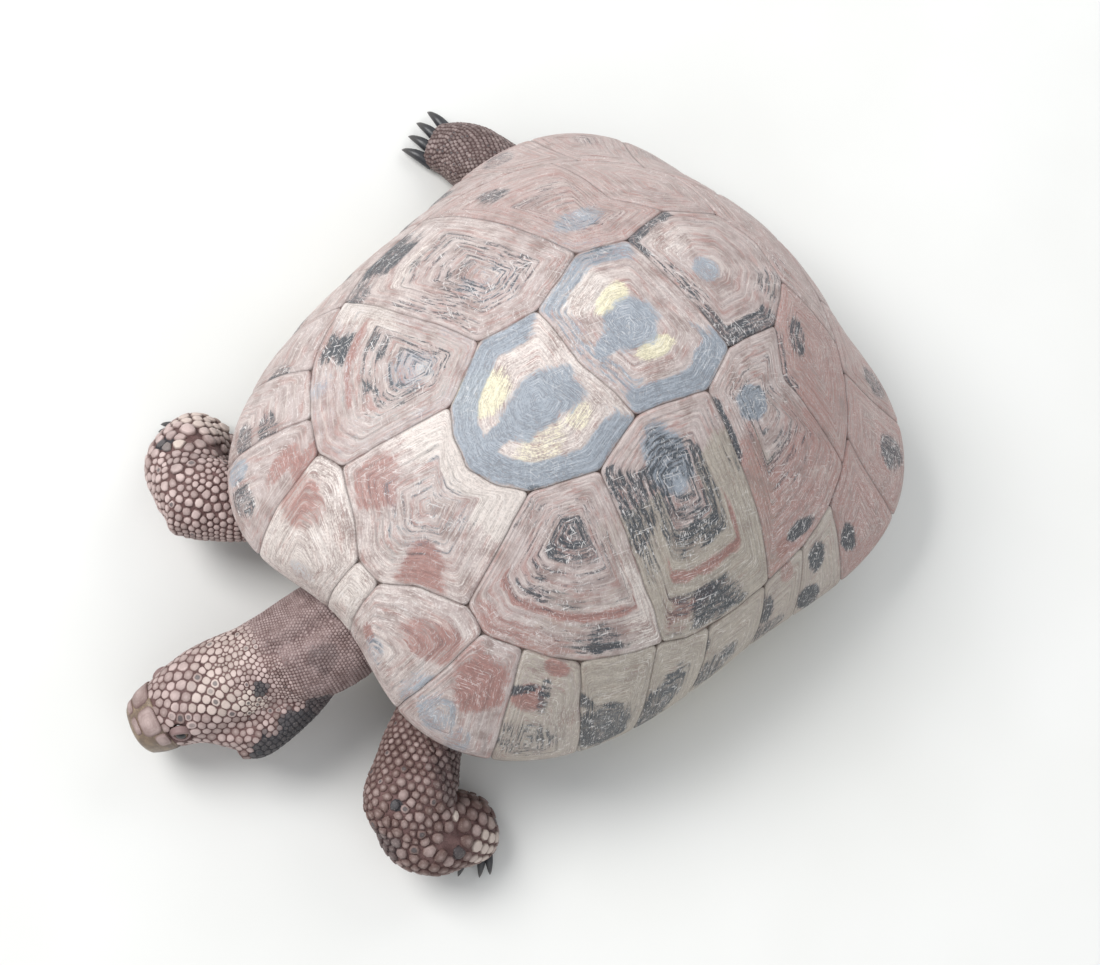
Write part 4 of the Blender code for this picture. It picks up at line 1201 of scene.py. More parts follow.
@dataclass
class Carapace:
    """The upper shell: 38 horn plates over a bony bed."""

    layout: Layout = field(default_factory=Layout)
    finish: HornFinish = HornFinish()
    bed_depths: tuple = (1.3 * MM, 2.1 * MM)

    def plates(self) -> list:
        """Every plate with its outline, heart and count of growth rings.

        Returns:
            The plates, front to rear.
        """
        found = []
        for number, heart in VERTEBRAL_HEARTS.items():
            found.append(HornPlate(f"vertebral_{number}", self.layout.vertebral(number), heart, 8.0, 0.24))
        for number, heart in COSTAL_HEARTS.items():
            outline = self.layout.costal(number)
            for side, sign in (("left", 1), ("right", -1)):
                turned = outline if sign > 0 else self.layout.mirrored(outline)
                place = (sign * heart[0], heart[1])
                found.append(HornPlate(f"costal_{side}_{number}", turned, place, 11.0, 0.14))
        found.append(HornPlate("nuchal", self.layout.nuchal(), (0.0, -0.86), 4.0, fine=False))
        for number in range(1, 13):
            outline = self.layout.marginal(number)
            heart = self.marginal_heart(outline)
            for side, sign in (("left", 1), ("right", -1)):
                turned = outline if sign > 0 else self.layout.mirrored(outline)
                node = f"marginal_{side}_{number}" if number < 12 else f"supracaudal_{side}"
                place = (sign * heart[0], heart[1])
                found.append(HornPlate(node, turned, place, 6.0, 0.2, fine=False))
        return found

    def marginal_heart(self, outline: list) -> Array:
        """Heart of a rim plate: its middle, drawn toward the middle of its outer edge.

        Args:
            outline: corner places of the plate.

        Returns:
            The disc place.
        """
        corners = np.array(outline)
        rim = corners[np.argsort(np.linalg.norm(corners, axis=1))[-2:]]
        return 0.62 * corners.mean(axis=0) + 0.38 * (1.04 * rim.mean(axis=0) * 0.96)

    def bed(self) -> MeshData:
        """The bone under the plates: a closed skin that lies 1.3 to 2.1 mm under the dome.

        Returns:
            The closed mesh.
        """
        headings = full_turn(120)
        rings = np.sin(np.linspace(0.0, 1.0, 40)[1:] * np.pi / 2) * 0.975
        place = rings[:, None, None] * np.stack([np.sin(headings), -np.cos(headings)], axis=-1)
        upper, lower = self.bed_depths
        layers = np.concatenate([DOME.under(place, upper), DOME.under(place, lower)[::-1]])
        crown = np.zeros(2)
        return closed_stack(layers, DOME.under(crown, upper), DOME.under(crown, lower))

    def build(self) -> None:
        """Makes every plate and the bed."""
        horn = self.finish.material()
        for plate in self.plates():
            piece = make_piece("horn_" + plate.node, plate.build(), horn)
            hand_over(piece, "shell_plate", plate.node)
        recipe = Recipe("seam_bed", 0.8, 0.2)
        speck = recipe.grain(700.0)
        colour = recipe.mix(recipe.ramp(speck, 0.35, 0.65), shade(104, 90, 85), shade(146, 128, 121))
        hand_over(make_piece("shell_bed", self.bed(), recipe.finish(colour)), "shell_plate")


# ---- flesh: lofts ----

@dataclass
class Loft:
    """A round body part: ovals square to a path through stations.

    Each station is x, y, z, half width and half depth in the shell's own frame.
    """

    stations: tuple
    up: tuple = (0.0, 0.0, 1.0)
    floor: float | None = None
    cap: float = 0.9
    inset: float = 0.55 * MM

    def rings(self, rows: int, columns: int) -> tuple:
        """Path places and ovals.

        An oval is centre + width cos(v) side + depth sin(v) above, where side is square to the
        path and to the up direction.  No point goes below the floor.

        Args:
            rows: number of rows.
            columns: points in each row.

        Returns:
            Path places and rings of points, in the row frame.
        """
        table = spline(np.array(self.stations), np.linspace(0.0, 1.0, rows))
        path = table[:, :3] + SHELL_PLACE
        tangent = unit(np.gradient(path, axis=0))
        side = unit(np.cross(tangent, np.array(self.up)))
        above = np.cross(side, tangent)
        turn = full_turn(columns)
        width, depth = (np.maximum(table[:, k, None] - self.inset, 0.5 * MM) for k in (3, 4))
        rings = (path[:, None] + (width * np.cos(turn))[..., None] * side[:, None]
                 + (depth * np.sin(turn))[..., None] * above[:, None])
        swell = np.array([0.45, 0.8, 0.97])
        reach = self.cap * (table[-1, 3] - self.inset)
        ends = [path[-1] + tangent[-1] * reach * math.sqrt(1.0 - (1.0 - k) ** 2)
                + (rings[-1] - path[-1]) * math.sqrt(1.0 - k ** 2) for k in swell]
        path = np.concatenate([path, [path[-1] + tangent[-1] * reach]])
        rings = np.concatenate([rings, np.stack(ends)])
        if self.floor is not None:
            rings[..., 2] = np.maximum(rings[..., 2], self.floor)
            path[:, 2] = np.maximum(path[:, 2], self.floor)
        return path, rings

    def mesh(self, rows: int = 40, columns: int = 48) -> MeshData:
        """The closed surface, with a centre point at each end."""
        path, rings = self.rings(rows, columns)
        return closed_stack(rings, path[0], path[-1])


FORELEG_LEFT_UPPER = Loft((
    (0.034, -0.058, 0.028, 0.0125, 0.011), (0.0415, -0.09, 0.0262, 0.0128, 0.0105),
    (0.0535, -0.11, 0.0255, 0.015, 0.0135)))
FORELEG_LEFT_LOWER = Loft((
    (0.056, -0.112, 0.0245, 0.013, 0.012), (0.0655, -0.1147, 0.019, 0.015, 0.0125),
    (0.0725, -0.105, 0.011, 0.013, 0.011), (0.0745, -0.099, 0.0044, 0.012, 0.008)),
    floor=0.0004, cap=0.2)
FORELEG_RIGHT_UPPER = Loft((
    (-0.038, -0.056, 0.028, 0.0125, 0.011), (-0.052, -0.084, 0.0262, 0.0125, 0.0105),
    (-0.0655, -0.0965, 0.025, 0.0145, 0.0135)))
FORELEG_RIGHT_LOWER = Loft((
    (-0.071, -0.0972, 0.024, 0.0125, 0.0118), (-0.08, -0.0938, 0.0185, 0.0142, 0.0125),
    (-0.0855, -0.0862, 0.0115, 0.013, 0.0115), (-0.0878, -0.0785, 0.0047, 0.0122, 0.0084)),
    floor=0.0004, cap=0.2)
HIND_LEG_LEFT_UPPER = Loft((
    (0.034, 0.052, 0.03, 0.013, 0.0125), (0.05, 0.066, 0.0265, 0.0135, 0.0125),
    (0.061, 0.074, 0.0215, 0.013, 0.0122)))
HIND_LEG_LEFT_LOWER = Loft((
    (0.062, 0.075, 0.0205, 0.0118, 0.0112), (0.069, 0.08, 0.013, 0.012, 0.011),
    (0.0725, 0.083, 0.008, 0.0115, 0.0095), (0.0755, 0.0865, 0.004, 0.0095, 0.006)),
    floor=0.0004, cap=0.25)
HIND_LEG_RIGHT_UPPER = Loft((
    (-0.034, 0.054, 0.031, 0.013, 0.012), (-0.058, 0.062, 0.024, 0.013, 0.0112),
    (-0.08, 0.063, 0.0165, 0.0136, 0.0108)))
HIND_LEG_RIGHT_LOWER = Loft((
    (-0.082, 0.0635, 0.015, 0.013, 0.0106), (-0.0965, 0.0645, 0.012, 0.0136, 0.0112),
    (-0.111, 0.063, 0.008, 0.0126, 0.0098), (-0.121, 0.059, 0.0045, 0.0096, 0.0062)),
    floor=0.0004, cap=0.25)
ELBOWS = (
    Loft(((0.048, -0.106, 0.0265, 0.011, 0.0108), (0.054, -0.1145, 0.0262, 0.0128, 0.0124),
          (0.063, -0.117, 0.0215, 0.012, 0.0118)), cap=0.4),
    Loft(((-0.061, -0.0955, 0.026, 0.011, 0.0108), (-0.0692, -0.0985, 0.0262, 0.0128, 0.0124),
          (-0.0775, -0.0965, 0.021, 0.012, 0.0118)), cap=0.4),
)
LEGS = {
    "foreleg_left": (FORELEG_LEFT_UPPER, FORELEG_LEFT_LOWER),
    "foreleg_right": (FORELEG_RIGHT_UPPER, FORELEG_RIGHT_LOWER),
    "hind_leg_left": (HIND_LEG_LEFT_UPPER, HIND_LEG_LEFT_LOWER),
    "hind_leg_right": (HIND_LEG_RIGHT_UPPER, HIND_LEG_RIGHT_LOWER),
}
NECK = Loft((
    (0.0, -0.06, 0.036, 0.017, 0.0125), (0.0, -0.084, 0.036, 0.0185, 0.0134),
    (-0.0025, -0.103, 0.0335, 0.0188, 0.0138), (-0.009, -0.1215, 0.03, 0.0155, 0.0125),
    (-0.0112, -0.129, 0.028, 0.014, 0.0112)), cap=0.3)
THROAT = Loft((
    (0.004, -0.104, 0.028, 0.0085, 0.009), (0.0066, -0.116, 0.027, 0.0088, 0.0085),
    (0.0076, -0.1265, 0.0255, 0.0082, 0.008), (0.008, -0.136, 0.023, 0.007, 0.0068),
    (0.0066, -0.142, 0.022, 0.0045, 0.0045)), cap=0.5)
TAIL = Loft((
    (0.0, 0.066, 0.03, 0.0085, 0.0085), (0.0, 0.082, 0.03, 0.0074, 0.0074),
    (0.003, 0.0945, 0.0235, 0.0054, 0.0054), (0.01, 0.1, 0.015, 0.0036, 0.0036)),
    up=(0.0, 1.0, 0.3), cap=0.1, inset=0.35 * MM)


@dataclass(frozen=True)
class LowerShellForm:
    """Underside of the body: the height and half width of the lower shell along y."""

    height: float = 0.0125
    thickness: float = 0.0035
    bridge_rise: float = 0.0125
    bridge_half_width: float = 0.08
    widths: tuple = ((-0.083, 0.02), (-0.078, 0.03), (-0.062, 0.041), (-0.048, 0.052),
                     (-0.038, 0.077), (-0.02, 0.087), (0.005, 0.0885), (0.03, 0.0885),
                     (0.044, 0.078), (0.054, 0.056), (0.07, 0.047), (0.083, 0.034), (0.09, 0.022))

    def low(self, x: Array, y: Array) -> Array:
        """Height of the underside: flat, lifted at the bridges and at the throat.

        Args:
            x: place across the body.
            y: place along the body.

        Returns:
            The height.
        """
        bridge = 1.0 / (1.0 + (np.abs(y - 0.002) / 0.047) ** 8)
        rise = self.bridge_rise * bridge * (np.abs(x) / self.bridge_half_width) ** 4
        throat = 0.008 * np.clip((-y - 0.045) / 0.045, 0.0, None) ** 2
        return self.height + rise + throat

    def half_width(self, y: Array) -> Array:
        """Half width at y."""
        places, widths = np.array(self.widths).T
        return np.interp(y, places, widths)


LOWER_FORM = LowerShellForm()


@dataclass
class Trunk:
    """The body inside the shell: full at the openings, drawn in where the shell hides it."""

    bed_depth: float = 4.0 * MM
    edge_gap: float = 1.4 * MM

    def rings(self, columns: int) -> Array:
        """Rings from the dome's crown to the belly, in the row frame.

        Args:
            columns: points in each row.

        Returns:
            The rings, from the top down.
        """
        heading = full_turn(columns)
        sine, cosine = np.sin(heading), -np.cos(heading)
        rings = []
        for s in (0.18, 0.36, 0.54, 0.7, 0.82, 0.91):
            place = np.stack([s * sine, s * cosine], axis=-1)
            rings.append(DOME.under(place, self.bed_depth + self.edge_gap * s ** 8))
        edge = rings[-1] - SHELL_PLACE
        opening = cosine ** 2
        rows = ((0.955, 0.9, 0.55), (0.9, 0.81, 0.12), (0.8, 0.72, 0.0), (0.4, 0.4, 0.0))
        for side, end, share in rows:
            place = edge[:, :2] * (side + (end - side) * opening)[:, None]
            floor = LOWER_FORM.low(*place.T) + LOWER_FORM.thickness + 1.3 * MM
            height = floor + (edge[:, 2] - floor) * share
            rings.append(np.concatenate([place, height[:, None]], axis=1) + SHELL_PLACE)
        return self.drawn_in(np.stack(rings))

    def drawn_in(self, rings: Array) -> Array:
        """The middle of the body, narrowed and lowered where no opening shows it.

        Args:
            rings: rows of points, ring by ring.

        Returns:
            The narrowed rings.
        """
        local = rings - SHELL_PLACE
        middle = np.exp(-((local[..., 1] - 0.004) / 0.04) ** 4)[..., None]
        core = np.array([0.0, 0.0, 0.03])
        drawn = np.array([0.8, 0.0, 0.7])
        high = smooth_step(local[..., 2:], 0.05, 0.085) * 0.45
        local = local - (local - core) * drawn * middle
        local[..., 2:] -= (local[..., 2:] - 0.045) * high
        return local + SHELL_PLACE

    def mesh(self) -> MeshData:
        """The closed surface."""
        return closed_stack(self.rings(96))


# ---- flesh: the head ----

@dataclass
class HeadForm:
    """The head in its own frame: x forward from the neck, y left, z up."""

    length: float = 0.047
    joint: tuple = (-0.009, -0.1215, 0.03)
    yaw: float = math.radians(17.0)
    pitch: float = math.radians(17.0)
    roll: float = math.radians(18.0)
    stations: tuple = ((0.011, 0.0085, 0.009), (0.015, 0.0118, 0.013),
                       (0.0158, 0.0127, 0.014), (0.0164, 0.0134, 0.0142),
                       (0.016, 0.0137, 0.013), (0.0144, 0.0133, 0.012),
                       (0.0119, 0.0119, 0.0114))
    reaches: tuple = (-0.34, 0.0, 0.1, 0.25, 0.42, 0.58, 0.735)
    throat: tuple = (0.0, 0.42, 0.62, 0.66, 0.34, 0.0, 0.0)
    eye: tuple = (0.64, 0.0096, 0.004)
    eye_radius: float = 3.7 * MM
    mouth_drop: float = 4.0 * MM
    back: float = -0.34
    beak_start: float = 0.735

    def __post_init__(self) -> None:
        """Works out the turn from the head's frame to the row frame."""
        heading = -math.pi / 2 - self.yaw
        cz, sz = math.cos(heading), math.sin(heading)
        cy, sy = math.cos(self.pitch), math.sin(self.pitch)
        cx, sx = math.cos(self.roll), math.sin(self.roll)
        about_z = np.array([[cz, -sz, 0], [sz, cz, 0], [0, 0, 1]])
        about_y = np.array([[cy, 0, sy], [0, 1, 0], [-sy, 0, cy]])
        about_x = np.array([[1, 0, 0], [0, cx, -sx], [0, sx, cx]])
        self.turn = about_z @ about_y @ about_x
        self.origin = np.array(self.joint) + SHELL_PLACE

    def placed(self, local: Array) -> Array:
        """Points of the head's frame in the row frame."""
        return local @ self.turn.T + self.origin

    def local(self, points: Array) -> Array:
        """Points of the row frame in the head's frame."""
        return (points - self.origin) @ self.turn

    def ring_sizes(self, reach: Array, inset: float = 0.0) -> Array:
        """Half width, height over and depth under the axis, and the throat's swell.

        Args:
            reach: share of the length of the head.
            inset: depth under the stations.

        Returns:
            Four numbers for each reach.
        """
        at = np.interp(reach, self.reaches, np.linspace(0.0, 1.0, len(self.reaches)))
        throat = np.array(self.throat)[:, None]
        return spline(np.concatenate([np.array(self.stations) - inset, throat], axis=1), at)

    def oval(self, side: Array, over: Array, under: Array, turn: Array) -> tuple:
        """Places across the head: y = side |cos v|^0.85, z = over or under |sin v|^0.9.

        Args:
            side: half width.
            over: height over the axis.
            under: depth under the axis.
            turn: the angles v.

        Returns:
            The places y and z.
        """
        sine, cosine = np.sin(turn), np.cos(turn)
        z = np.where(sine > 0, over, under) * np.sign(sine) * np.abs(sine) ** 0.9
        return side * np.sign(cosine) * np.abs(cosine) ** 0.85, z

    def rings(self, rows: int, columns: int, first: float = -0.34, last: float = 0.8,
              inset: float = 0.55 * MM) -> Array:
        """Ovals across the head, fuller at the throat and smaller beyond the root of the beak.

        Args:
            rows: number of rows.
            columns: points in each row.
            first: reach of the first ring.
            last: reach of the last ring.
            inset: depth under the stations.

        Returns:
            The rings, in the head's frame.
        """
        reach = np.linspace(first, last, rows)
        sizes = self.ring_sizes(np.clip(reach, self.back, self.beak_start), inset)
        beyond = 1.0 - 0.35 * np.clip(reach - self.beak_start, 0.0, None) / 0.1 * 0.6
        v = full_turn(columns)
        y, z = self.oval(sizes[:, :1], sizes[:, 1:2], sizes[:, 2:3], v)
        swell = 1.0 + sizes[:, 3:] * np.exp(-((v - math.radians(322.0)) / 0.75) ** 2)
        scale = swell * beyond[:, None]
        x = np.broadcast_to((reach * self.length)[:, None], y.shape)
        return np.stack([x, y * scale, z * scale], axis=-1)

    def mesh(self) -> MeshData:
        """The closed surface of the skull's flesh, in the row frame.

        Returns:
            The closed mesh.
        """
        local = closed_stack(self.rings(56, 64))
        local.points = self.placed(local.points)
        return local.outward()

    def eye_centre(self, sign: int) -> Array:
        """Centre of an eye in the head's frame."""
        reach, out, up = self.eye
        return np.array([reach * self.length, sign * out, up])

    def eye_axis(self, sign: int) -> Array:
        """Direction in which an eye looks, in the head's frame."""
        return unit(np.array([0.26, sign * 0.93, 0.2]))


HEAD = HeadForm()


# ---- flesh: one skin ----

@dataclass(frozen=True)
class Fold:
    """A crease or a ridge of skin along a curve through places in the shell's frame."""

    places: tuple
    depth: float
    width: float
    swell: float = 0.5
    samples: int = 24

    def lift(self, points: Array) -> Array:
        """Height of the fold: a furrow with a soft ridge at each side, fading at both ends.

        Args:
            points: places in the row frame.

        Returns:
            Height at each place, in metres.
        """
        line = spline(np.array(self.places), np.linspace(0.0, 1.0, self.samples)) + SHELL_PLACE
        away = np.linalg.norm(points[:, None] - line[None], axis=2)
        nearest = away.argmin(axis=1)
        share = nearest / (self.samples - 1)
        fade = np.sqrt(np.clip(4.0 * share * (1.0 - share) * 1.3, 0.0, 1.0))
        distance = away.min(axis=1)
        furrow = -bump_at(distance, self.width)
        ridge = self.swell * bump_at(distance - 1.9 * self.width, self.width)
        return self.depth * (furrow + ridge) * fade


FOLDS = (
    Fold(((-0.0105, -0.1215, 0.0405), (-0.0076, -0.118, 0.043), (-0.0059, -0.1117, 0.045),
          (-0.0038, -0.1029, 0.0462), (-0.0022, -0.0936, 0.0475), (-0.001, -0.085, 0.048)), 1.5 * MM,
          2.5 * MM, 0.55),
    Fold(((-0.006, -0.118, 0.0425), (0.0018, -0.1185, 0.04), (0.0085, -0.117, 0.034)), 1.3 * MM,
          1.5 * MM),
    Fold(((-0.0035, -0.112, 0.044), (0.0045, -0.1055, 0.0425), (0.01, -0.096, 0.04),
          (0.0125, -0.088, 0.0385)), 1.1 * MM, 2.1 * MM),
    Fold(((-0.017, -0.0885, 0.0405), (-0.009, -0.086, 0.047), (0.002, -0.085, 0.0485),
          (0.012, -0.087, 0.044)), 0.8 * MM, 1.4 * MM),
    Fold(((0.0455, -0.096, 0.034), (0.054, -0.0985, 0.0375), (0.064, -0.102, 0.033)), 1.1 * MM, 1.5 * MM),
    Fold(((0.044, -0.0905, 0.033), (0.052, -0.0925, 0.036), (0.059, -0.096, 0.032)), 0.9 * MM, 1.3 * MM),
    Fold(((-0.056, -0.083, 0.034), (-0.062, -0.085, 0.036), (-0.069, -0.083, 0.032)), 0.9 * MM, 1.4 * MM),
)


@dataclass
class Flesh:
    """The one skin over trunk, neck, head, legs and tail, held as a piece once it is built."""

    voxel: float = 1.12 * MM
    smoothing: int = 4
    socket_edge: tuple = (4.3 * MM, 2.6 * MM)
    socket_depth: float = 3.2 * MM
    piece: bpy.types.Object | None = None

    def build(self) -> None:
        """Joins the body parts to one surface, shapes it and dresses it."""
        lofts = [NECK, THROAT, TAIL, *ELBOWS, *(part for pair in LEGS.values() for part in pair)]
        parts = [loft.mesh() for loft in lofts] + [HEAD.mesh(), Trunk().mesh()]
        points, normals, quads = self.fused(join(parts))
        points = points + normals * self.relief(points)[:, None]
        data = MeshData(points, quads, values=flesh_marks(points)).outward()
        self.piece = make_piece("skin", data, FleshFinish().skin())
        nodes = ["trunk", "neck", "head", "tail"]
        nodes += [name for leg in LEGS for name in (leg + "_upper", leg + "_foot")]
        hand_over(self.piece, "skin", *nodes)

    def fused(self, data: MeshData) -> tuple:
        """One closed surface round overlapping parts, by a voxel remesh and smoothing.

        Args:
            data: the overlapping parts.

        Returns:
            Its points, normals and quads.
        """
        rough = make_piece("rough_flesh", data, None)
        remesh = rough.modifiers.new("fuse", "REMESH")
        remesh.mode = "VOXEL"
        remesh.voxel_size = self.voxel
        relax = rough.modifiers.new("relax", "SMOOTH")
        relax.factor = 0.5
        relax.iterations = self.smoothing
        mesh = rough.evaluated_get(bpy.context.evaluated_depsgraph_get()).to_mesh()
        count = len(mesh.vertices)
        points, normals = np.empty(count * 3), np.empty(count * 3)
        mesh.vertices.foreach_get("co", points)
        mesh.vertex_normals.foreach_get("vector", normals)
        corners = np.empty(len(mesh.loops), np.int32)
        mesh.loops.foreach_get("vertex_index", corners)
        bpy.data.objects.remove(rough)
        LOG.info("skin: %d points", count)
        return points.reshape(-1, 3), normals.reshape(-1, 3), corners.reshape(-1, 4)

    def relief(self, points: Array) -> Array:
        """Lift of the skin along its normals: folds, creases at the openings, eye sockets.

        Args:
            points: places in the row frame.

        Returns:
            The lift in metres.
        """
        local = points - SHELL_PLACE
        lift = sum(fold.lift(points) for fold in FOLDS)
        collar = smooth_step(local[:, 1], -0.112, -0.088) * smooth_step(local[:, 1], -0.05, -0.075)
        waves = np.sin(local[:, 1] * 1500.0 + 4.0 * noise(points, 60.0, 4))
        on_neck = smooth_step(np.abs(local[:, 0]), 0.022, 0.015)
        lift = lift + 0.22 * MM * waves * collar * on_neck
        slack = 0.35 * MM * fractal(points, 130.0, 3, 31)
        return lift + slack + self.sockets(points)

    def sockets(self, points: Array) -> Array:
        """Sinking of the skin into a hollow round each eyeball.

        Args:
            points: places in the row frame.

        Returns:
            The lift in metres, 0 or less.
        """
        head = HEAD.local(points)
        sunk = np.zeros(len(points))
        for sign in (1, -1):
            offset = head - HEAD.eye_centre(sign)
            axis = HEAD.eye_axis(sign)
            along = offset @ axis
            across = np.linalg.norm(offset - along[:, None] * axis, axis=1)
            hole = smooth_step(across, *self.socket_edge) * (along > 0.0)
            sunk = sunk - self.socket_depth * hole
        return sunk


# ---- flesh: markings and finishes ----

@dataclass(frozen=True)
class Patch:
    """A soft ball of dark or cream colour on the skin, about a place in the shell's frame."""

    pigment: str
    place: tuple
    radius: float
    strength: float = 1.0


# Dark balls lie low on the throat, under the neck, on the forelegs and on the right hind foot; cream ones on
# the head, the neck and the forelegs.
PATCHES = (
    Patch("dark", (0.0135, -0.134, 0.023), 0.0095, 1), Patch("dark", (0.0145, -0.125, 0.027), 0.0085, 0.95),
    Patch("dark", (0.014, -0.116, 0.029), 0.007, 0.7), Patch("dark", (0.005, -0.106, 0.044), 0.006, 0.4),
    Patch("cream", (-0.019, -0.127, 0.039), 0.011, 0.3),
    Patch("cream", (0.001, -0.133, 0.0385), 0.0055, 0.75),
    Patch("cream", (-0.01, -0.14, 0.0385), 0.008, 0.45),
    Patch("dark", (-0.001, -0.1275, 0.0405), 0.0026, 0.85),
    Patch("dark", (0.0765, -0.113, 0.02), 0.0042, 1), Patch("dark", (0.0735, -0.111, 0.024), 0.002, 1),
    Patch("dark", (0.059, -0.0985, 0.031), 0.011, 0.45), Patch("cream", (0.08, -0.104, 0.013), 0.0075, 0.7),
    Patch("cream", (0.0709, -0.107, 0.025), 0.003, 0.95),
    Patch("dark", (0.062, -0.1272, 0.023), 0.007, 0.5), Patch("dark", (0.056, -0.119, 0.037), 0.0024, 0.85),
    Patch("dark", (-0.09, -0.0945, 0.026), 0.0038, 1), Patch("cream", (-0.087, -0.093, 0.029), 0.0026, 0.8),
    Patch("cream", (-0.0645, -0.1015, 0.035), 0.0024, 1),
    Patch("cream", (-0.09, -0.079, 0.015), 0.009, 0.6), Patch("dark", (-0.079, -0.093, 0.033), 0.0085, 0.3),
    Patch("dark", (-0.106, 0.066, 0.008), 0.033, 0.42), Patch("dark", (0, -0.098, 0.018), 0.015, 0.4),
)


def flesh_marks(points: Array) -> dict:
    """Share of dark and of cream colour over the flesh, the same for skin and scales.

    Args:
        points: places in the row frame.

    Returns:
        Shares of dark and cream colour and of the calm neck.
    """
    masks = {"dark": np.zeros(len(points)), "cream": np.zeros(len(points))}
    ragged = fractal(points, 450.0, 3, 71)
    for patch in PATCHES:
        away = np.linalg.norm(points - SHELL_PLACE - np.array(patch.place), axis=1) / patch.radius
        share = patch.strength * smooth_step(1.0 - away + 0.3 * ragged, -0.15, 0.25)
        masks[patch.pigment] = np.maximum(masks[patch.pigment], share)
    local = points - SHELL_PLACE
    beside = smooth_step(np.abs(local[:, 0]), 0.03, 0.024)
    masks["calm"] = beside * smooth_step(local[:, 1] + 0.004 * ragged, -0.124, -0.112)
    return masks


@dataclass(frozen=True)
class FleshFinish:
    """Purple-brown skin with pale horny scales."""

    skin_low: tuple = shade(76, 50, 48)
    skin_high: tuple = shade(118, 90, 87)
    black: tuple = shade(46, 49, 54)
    scale_low: tuple = shade(108, 86, 80)
    scale_high: tuple = shade(204, 182, 177)
    scale_cream: tuple = shade(222, 207, 195)
    scale_edge: tuple = shade(98, 71, 67)
    neck_low: tuple = shade(122, 100, 98)
    neck_high: tuple = shade(168, 148, 146)

    def skin(self) -> bpy.types.Material:
        """Finish of the skin between the scales.

        Returns:
            The material.
        """
        recipe = Recipe("skin", 0.62, 0.35)
        wash = recipe.grain(160.0, 4.0)
        grain = recipe.grain(1700.0, 3.0, 0.65)
        beads = recipe.cells(recipe.object_place, 1500.0)
        colour = recipe.mix(recipe.ramp(wash, 0.32, 0.68), self.skin_low, self.skin_high)
        colour = recipe.lay(colour, self.scale_low, beads, 0.15, 0.5, 0.35, 0.0)
        neck = recipe.mix(recipe.ramp(wash, 0.35, 0.65), self.neck_low, self.neck_high)
        colour = recipe.lay(colour, neck, recipe.attribute("calm"), 0.0, 1.0, 0.0, 0.6)
        colour = recipe.lay(colour, self.black, recipe.attribute("dark"), 0.2, 0.8, 0.0, 0.9)
        height = recipe.plus(recipe.ramp(beads, 0.1, 0.6, 1.0, 0.0), recipe.times(grain, 0.5))
        return recipe.finish(colour, None, height, 0.14 * MM)

    def scales(self) -> bpy.types.Material:
        """Finish of the scales: darker edges, faint growth lines, some with a dark middle.

        Returns:
            The material.
        """
        recipe = Recipe("scales", 0.52, 0.4)
        wash = recipe.grain(240.0, 4.0)
        grain = recipe.grain(2300.0, 3.0, 0.6)
        centre = recipe.attribute("centre")
        # Each scale goes from dark to pale by its brightness value, which on the legs holds painted light
        # and shade.
        colour = recipe.mix(recipe.ramp(recipe.attribute("tone_and_painted_light"), 0.0, 1.0), self.scale_low, self.scale_high)
        colour = recipe.lay(colour, self.scale_edge, wash, 0.35, 0.7, 0.0, 0.4)
        colour = recipe.mix(recipe.attribute("cream"), colour, self.scale_cream)
        colour = recipe.lay(colour, self.scale_high, centre, 0.35, 0.95, 0.0, 0.3)
        rings = recipe.math("SINE", recipe.plus(recipe.times(centre, 30.0), recipe.times(grain, 5.0)))
        colour = recipe.lay(colour, self.scale_edge, rings, 0.2, 1.0, 0.0, 0.16)
        middle = recipe.ramp(recipe.plus(centre, recipe.times(grain, 0.3)), 0.45, 0.75)
        spot = recipe.times(recipe.ramp(recipe.attribute("spot"), 0.9, 0.97), middle)
        colour = recipe.mix(recipe.times(spot, 0.75), colour, self.black)
        colour = recipe.lay(colour, self.scale_edge, centre, 0.02, 0.24, 0.65, 0.0)
        neck = recipe.mix(recipe.ramp(wash, 0.35, 0.65), self.neck_low, self.neck_high)
        colour = recipe.lay(colour, neck, recipe.attribute("calm"), 0.0, 1.0, 0.0, 0.62)
        colour = recipe.lay(colour, self.black, recipe.attribute("dark"), 0.1, 0.9, 0.0, 0.9)
        colour = recipe.lay(colour, self.scale_cream, grain, 0.55, 0.7, 0.0, 0.22)
        return recipe.finish(colour, recipe.ramp(grain, 0.3, 0.7, 0.44, 0.62), grain, 0.06 * MM)


# ---- scales ----

